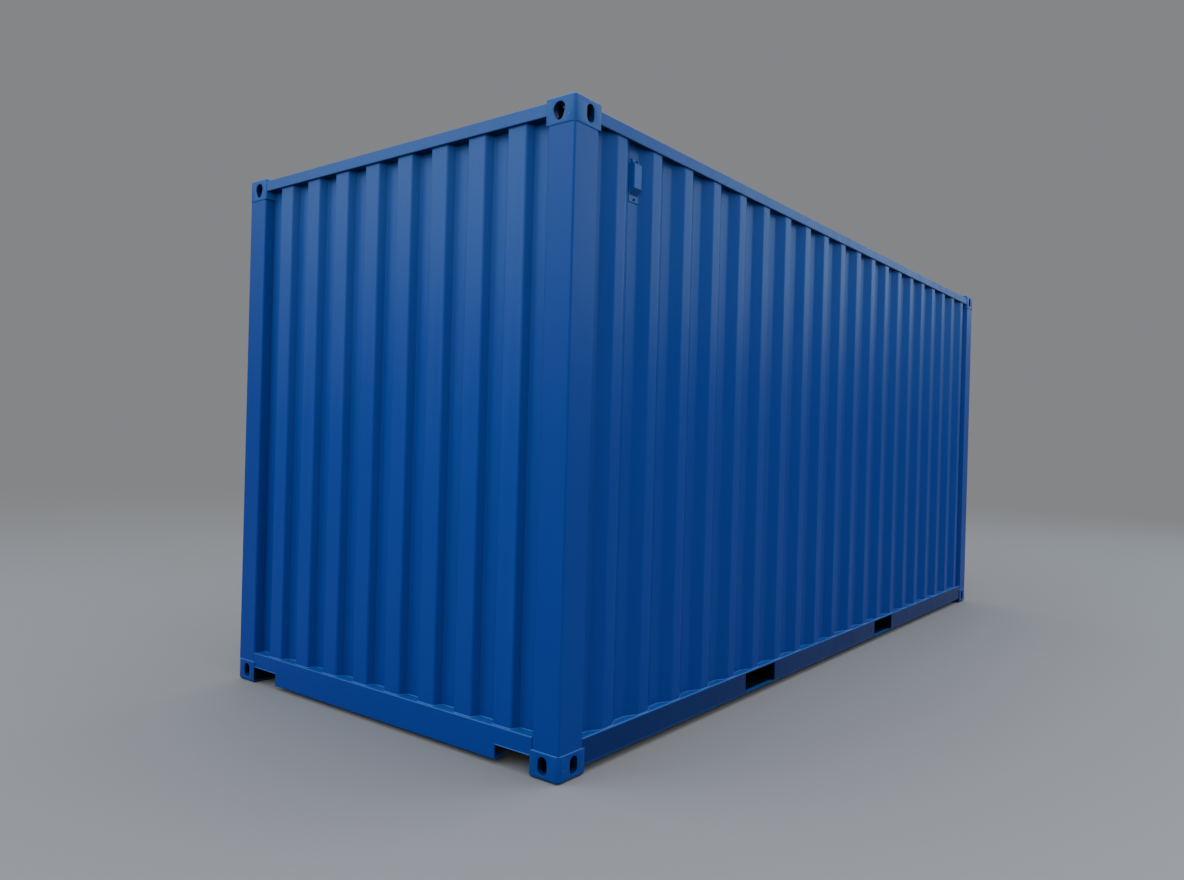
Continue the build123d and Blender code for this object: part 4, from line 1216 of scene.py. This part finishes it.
@dataclass
class DoorHardware:
    """Bolts, pin caps, handle retainers, the drip strip and leaf welds of the door end."""

    face: float = 2979 * MM
    plate: float = 4 * MM
    rod_y: Pair = (230 * MM, 880 * MM)
    wing: float = 34.4 * MM
    wing_pitch: float = 28 * MM
    bracket_levels: tuple[float, ...] = (252 * MM, 866 * MM, 1480 * MM, 2094 * MM, 2708 * MM)
    catches: tuple[Pair, ...] = ((670 * MM, 1118 * MM), (440 * MM, 1228 * MM))
    catch_pitch: float = 72 * MM
    bolt: Bolts = Bolts(16 * MM, 8 * MM)
    small_bolt: Bolts = Bolts(12 * MM, 6 * MM, 1.5 * MM)
    rivet: Bolts = Bolts(10 * MM, 3 * MM, 1 * MM)
    rivet_drop: float = 12 * MM
    handle_face: float = 3019 * MM
    hasp_half: float = 11 * MM
    hasp_rise: float = 30 * MM
    hasp_drop: float = 24 * MM
    hasp_sheet: float = 4 * MM
    hasp_gap: float = 1 * MM
    pin: Pair = (3002 * MM, 1161.5 * MM)
    pin_levels: tuple[float, ...] = (322 * MM, 1094 * MM, 1866 * MM, 2638 * MM)
    lug_reach: float = 45.3 * MM
    cap_radii: Pair = (9 * MM, 7 * MM)
    cap_height: float = 4 * MM
    strip_half: float = 1050 * MM
    strip_z: Pair = (2786 * MM, 2796 * MM)
    strip_depth: float = 4.5 * MM
    strip_round: float = 1.2 * MM
    weld_radius: float = 2 * MM
    panel_y: Pair = (105 * MM, 1061.5 * MM)
    panel_z: Pair = (312 * MM, 2648 * MM)
    grooves: int = 4
    groove_flat: float = 72 * MM
    groove_slope: float = 34 * MM
    groove_depth: float = 36 * MM

    def build(self) -> None:
        """Makes the door end's fixings."""
        self.bolts()
        self.retainers()
        self.pin_caps()
        self.strip()
        self.leaf_welds()

    def bolts(self) -> None:
        """Bolts the saddles and catches to the leaves."""
        bm = bmesh.new()
        seat = self.face + self.plate
        for side in Side:
            for rod, level, across, up in product(self.rod_y, self.bracket_levels, (-1, 1), (-1, 1)):
                y = side.value * rod + across * self.wing
                self.bolt.add(bm, (seat, y, level + up * self.wing_pitch / 2), QUARTER_Y)
            for (y, level), up in product(self.catches, (-1, 1)):
                place = (seat, side.value * y, level + up * self.catch_pitch / 2)
                self.small_bolt.add(bm, place, QUARTER_Y)
        finish_piece(bm, "lock_gear_bolts", ZINC)

    def retainers(self) -> None:
        """Hangs a hasp over each handle, on its catch."""
        bm = bmesh.new()
        inner = self.handle_face + self.hasp_gap
        outer = inner + self.hasp_sheet
        for side, (y, level) in product(Side, self.catches):
            middle = side.value * y
            low, high = middle - self.hasp_half, middle + self.hasp_half
            top = level + self.hasp_rise
            bend = top - self.hasp_sheet
            box(bm, (self.face + self.plate, low, bend), (outer, high, top))
            box(bm, (inner, low, level - self.hasp_drop), (outer, high, bend))
            self.rivet.add(bm, (outer, middle, top - self.rivet_drop), QUARTER_Y)
        finish_piece(bm, "handle_retainers", ZINC)

    def pin_caps(self) -> None:
        """Caps both ends of every hinge pin."""
        bm = bmesh.new()
        x, out = self.pin
        for side, level, way in product(Side, self.pin_levels, (-1, 1)):
            z = level + way * (self.lug_reach + self.cap_height / 2)
            foot, tip = self.cap_radii[::way]
            bmesh.ops.create_cone(
                bm,
                cap_ends=True,
                segments=ROUND,
                radius1=foot,
                radius2=tip,
                depth=self.cap_height,
                matrix=Matrix.Translation((x, side.value * out, z)),
            )
        finish_piece(bm, "hinge_pin_caps", ZINC)

    def strip(self) -> None:
        """Lays the drip strip along the header over the doors."""
        bm = bmesh.new()
        low, high = self.strip_z
        box(bm, (self.face, -self.strip_half, low), (self.face + self.strip_depth, self.strip_half, high))
        bevel(bm, bm.edges, self.strip_round, segments=2)
        finish_piece(bm, "drip_strip", FRAME_PAINT)

    def leaf_welds(self) -> None:
        """Beads round each door panel, in and out of its grooves."""
        bottom, top = self.panel_z
        profile = [(self.face, bottom)]
        for i in range(self.grooves):
            middle = bottom + (i + 1) * (top - bottom) / (self.grooves + 1)
            for way in (-1, 1):
                lip = (self.face, middle + way * (self.groove_flat / 2 + self.groove_slope))
                root = (self.face - self.groove_depth, middle + way * self.groove_flat / 2)
                profile += [lip, root] if way < 0 else [root, lip]
        profile.append((self.face, top))
        runs = []
        for side in Side:
            inner, outer = (side.value * y for y in self.panel_y)
            runs += [[(x, y, z) for x, z in profile] for y in (inner, outer)]
            runs += [[(self.face, inner, z), (self.face, outer, z)] for z in self.panel_z]
        bead("door_panel_welds", runs, self.weld_radius, FRAME_PAINT)


@dataclass
class VentFittings:
    """Screws, screen and seal of each ventilator; the screws and seal are dark, as painted shade."""

    places: tuple[tuple[Side, float], ...] = ((Side.LEFT, -2534 * MM), (Side.RIGHT, 2578 * MM))
    plate_face: float = 1173 * MM
    plate_half: float = 38 * MM
    plate_z: Pair = (2550 * MM, 2750 * MM)
    seal_radius: float = 2 * MM
    screws: tuple[Pair, ...] = ((-24 * MM, 2741 * MM), (20 * MM, 2741 * MM), (2 * MM, 2563 * MM))
    screw: Bolts = Bolts(11 * MM, 4 * MM, 1 * MM)
    mouth: tuple[Pair, Pair] = ((1173.5 * MM, 2585 * MM), (1193 * MM, 2611 * MM))
    screen_half: float = 26.3 * MM
    screen_plate: float = 2 * MM

    def build(self) -> None:
        """Makes the screws, screens and seals, the seals dark as a painted shadow line round each plate."""
        screws = bmesh.new()
        screens = bmesh.new()
        foot, head = self.plate_z
        seal_shadow_lines = []
        for side, x in self.places:
            left, right = x - self.plate_half, x + self.plate_half
            outline = ((left, head), (left, foot), (right, foot), (right, head), (left, head))
            seal_shadow_lines.append([(at, side.value * (self.plate_face - self.seal_radius), z) for at, z in outline])
            turn = Matrix.Rotation(math.radians(-90 * side.value), 4, "X")
            for across, level in self.screws:
                self.screw.add(screws, (x + across, side.value * self.plate_face, level), turn)
            corners = [
                screens.verts.new((x + along, side.value * out, z + up))
                for out, z in self.mouth
                for along in (-self.screen_half, self.screen_half)
                for up in (0.0, self.screen_plate)
            ]
            bmesh.ops.convex_hull(screens, input=corners)
        # Screws and seal beads in dark paint: painted shade, and a painted shadow line round the plate
        finish_piece(screws, "vent_screws", SLOT_PAINT)
        finish_piece(screens, "vent_screens", UNDERCOAT_AND_SHADE)
        bead("vent_seals", seal_shadow_lines, self.seal_radius, SLOT_PAINT)


# Carried-over nodes


NODE_FINISHES: dict[Finish, tuple[str, ...]] = {
    FRAME_PAINT: (
        "corner_post",
        "top_side_rail",
        "front_bottom_rail",
        "door_header",
        "door_sill",
        "door_frame",
        "hinge_blades",
        "hinge_lugs",
        "roof_corner_plates",
    ),
    RAIL_PAINT: ("bottom_side_rail",),
    FRONT_PAINT: ("front_top_rail", "front_wall"),
    WALL_PAINT: ("side_wall", "roof_panel", "door_panel"),
    CASTING_PAINT: ("casting",),
    HOOD_PAINT: ("ventilator",),
    ZINC: ("door_handles", "handle_catches", "lock_rod", "rod_brackets", "cam_keepers"),
    RUBBER: ("door_gasket",),
    PLYWOOD: ("floor_boards",),
    UNDERCOAT_AND_SHADE: ("floor_cross_members", "fork_pocket"),
}


def dress_nodes(nodes: dict[str, Object]) -> None:
    """Gives every carried-over node its finish.

    Args:
        nodes: the CAD nodes' objects by name.
    """
    for name, node in nodes.items():
        finish = next(f for f, starts in NODE_FINISHES.items() if name.startswith(starts))
        node.data.materials.clear()
        node.data.materials.append(finish.material())
        LOG.info("%s: %s", name, finish.name)


def main() -> None:
    """Loads the frame and builds every sub-assembly in order."""
    logging.basicConfig(level=logging.INFO)
    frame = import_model()
    nodes = frame["nodes"]
    Studio().build()
    dress_nodes(nodes)
    CornerCastings().build()
    PressedSheets(nodes).build()
    Welds().build()
    DoorHardware().build()
    VentFittings().build()


if __name__ == "__main__":
    main()
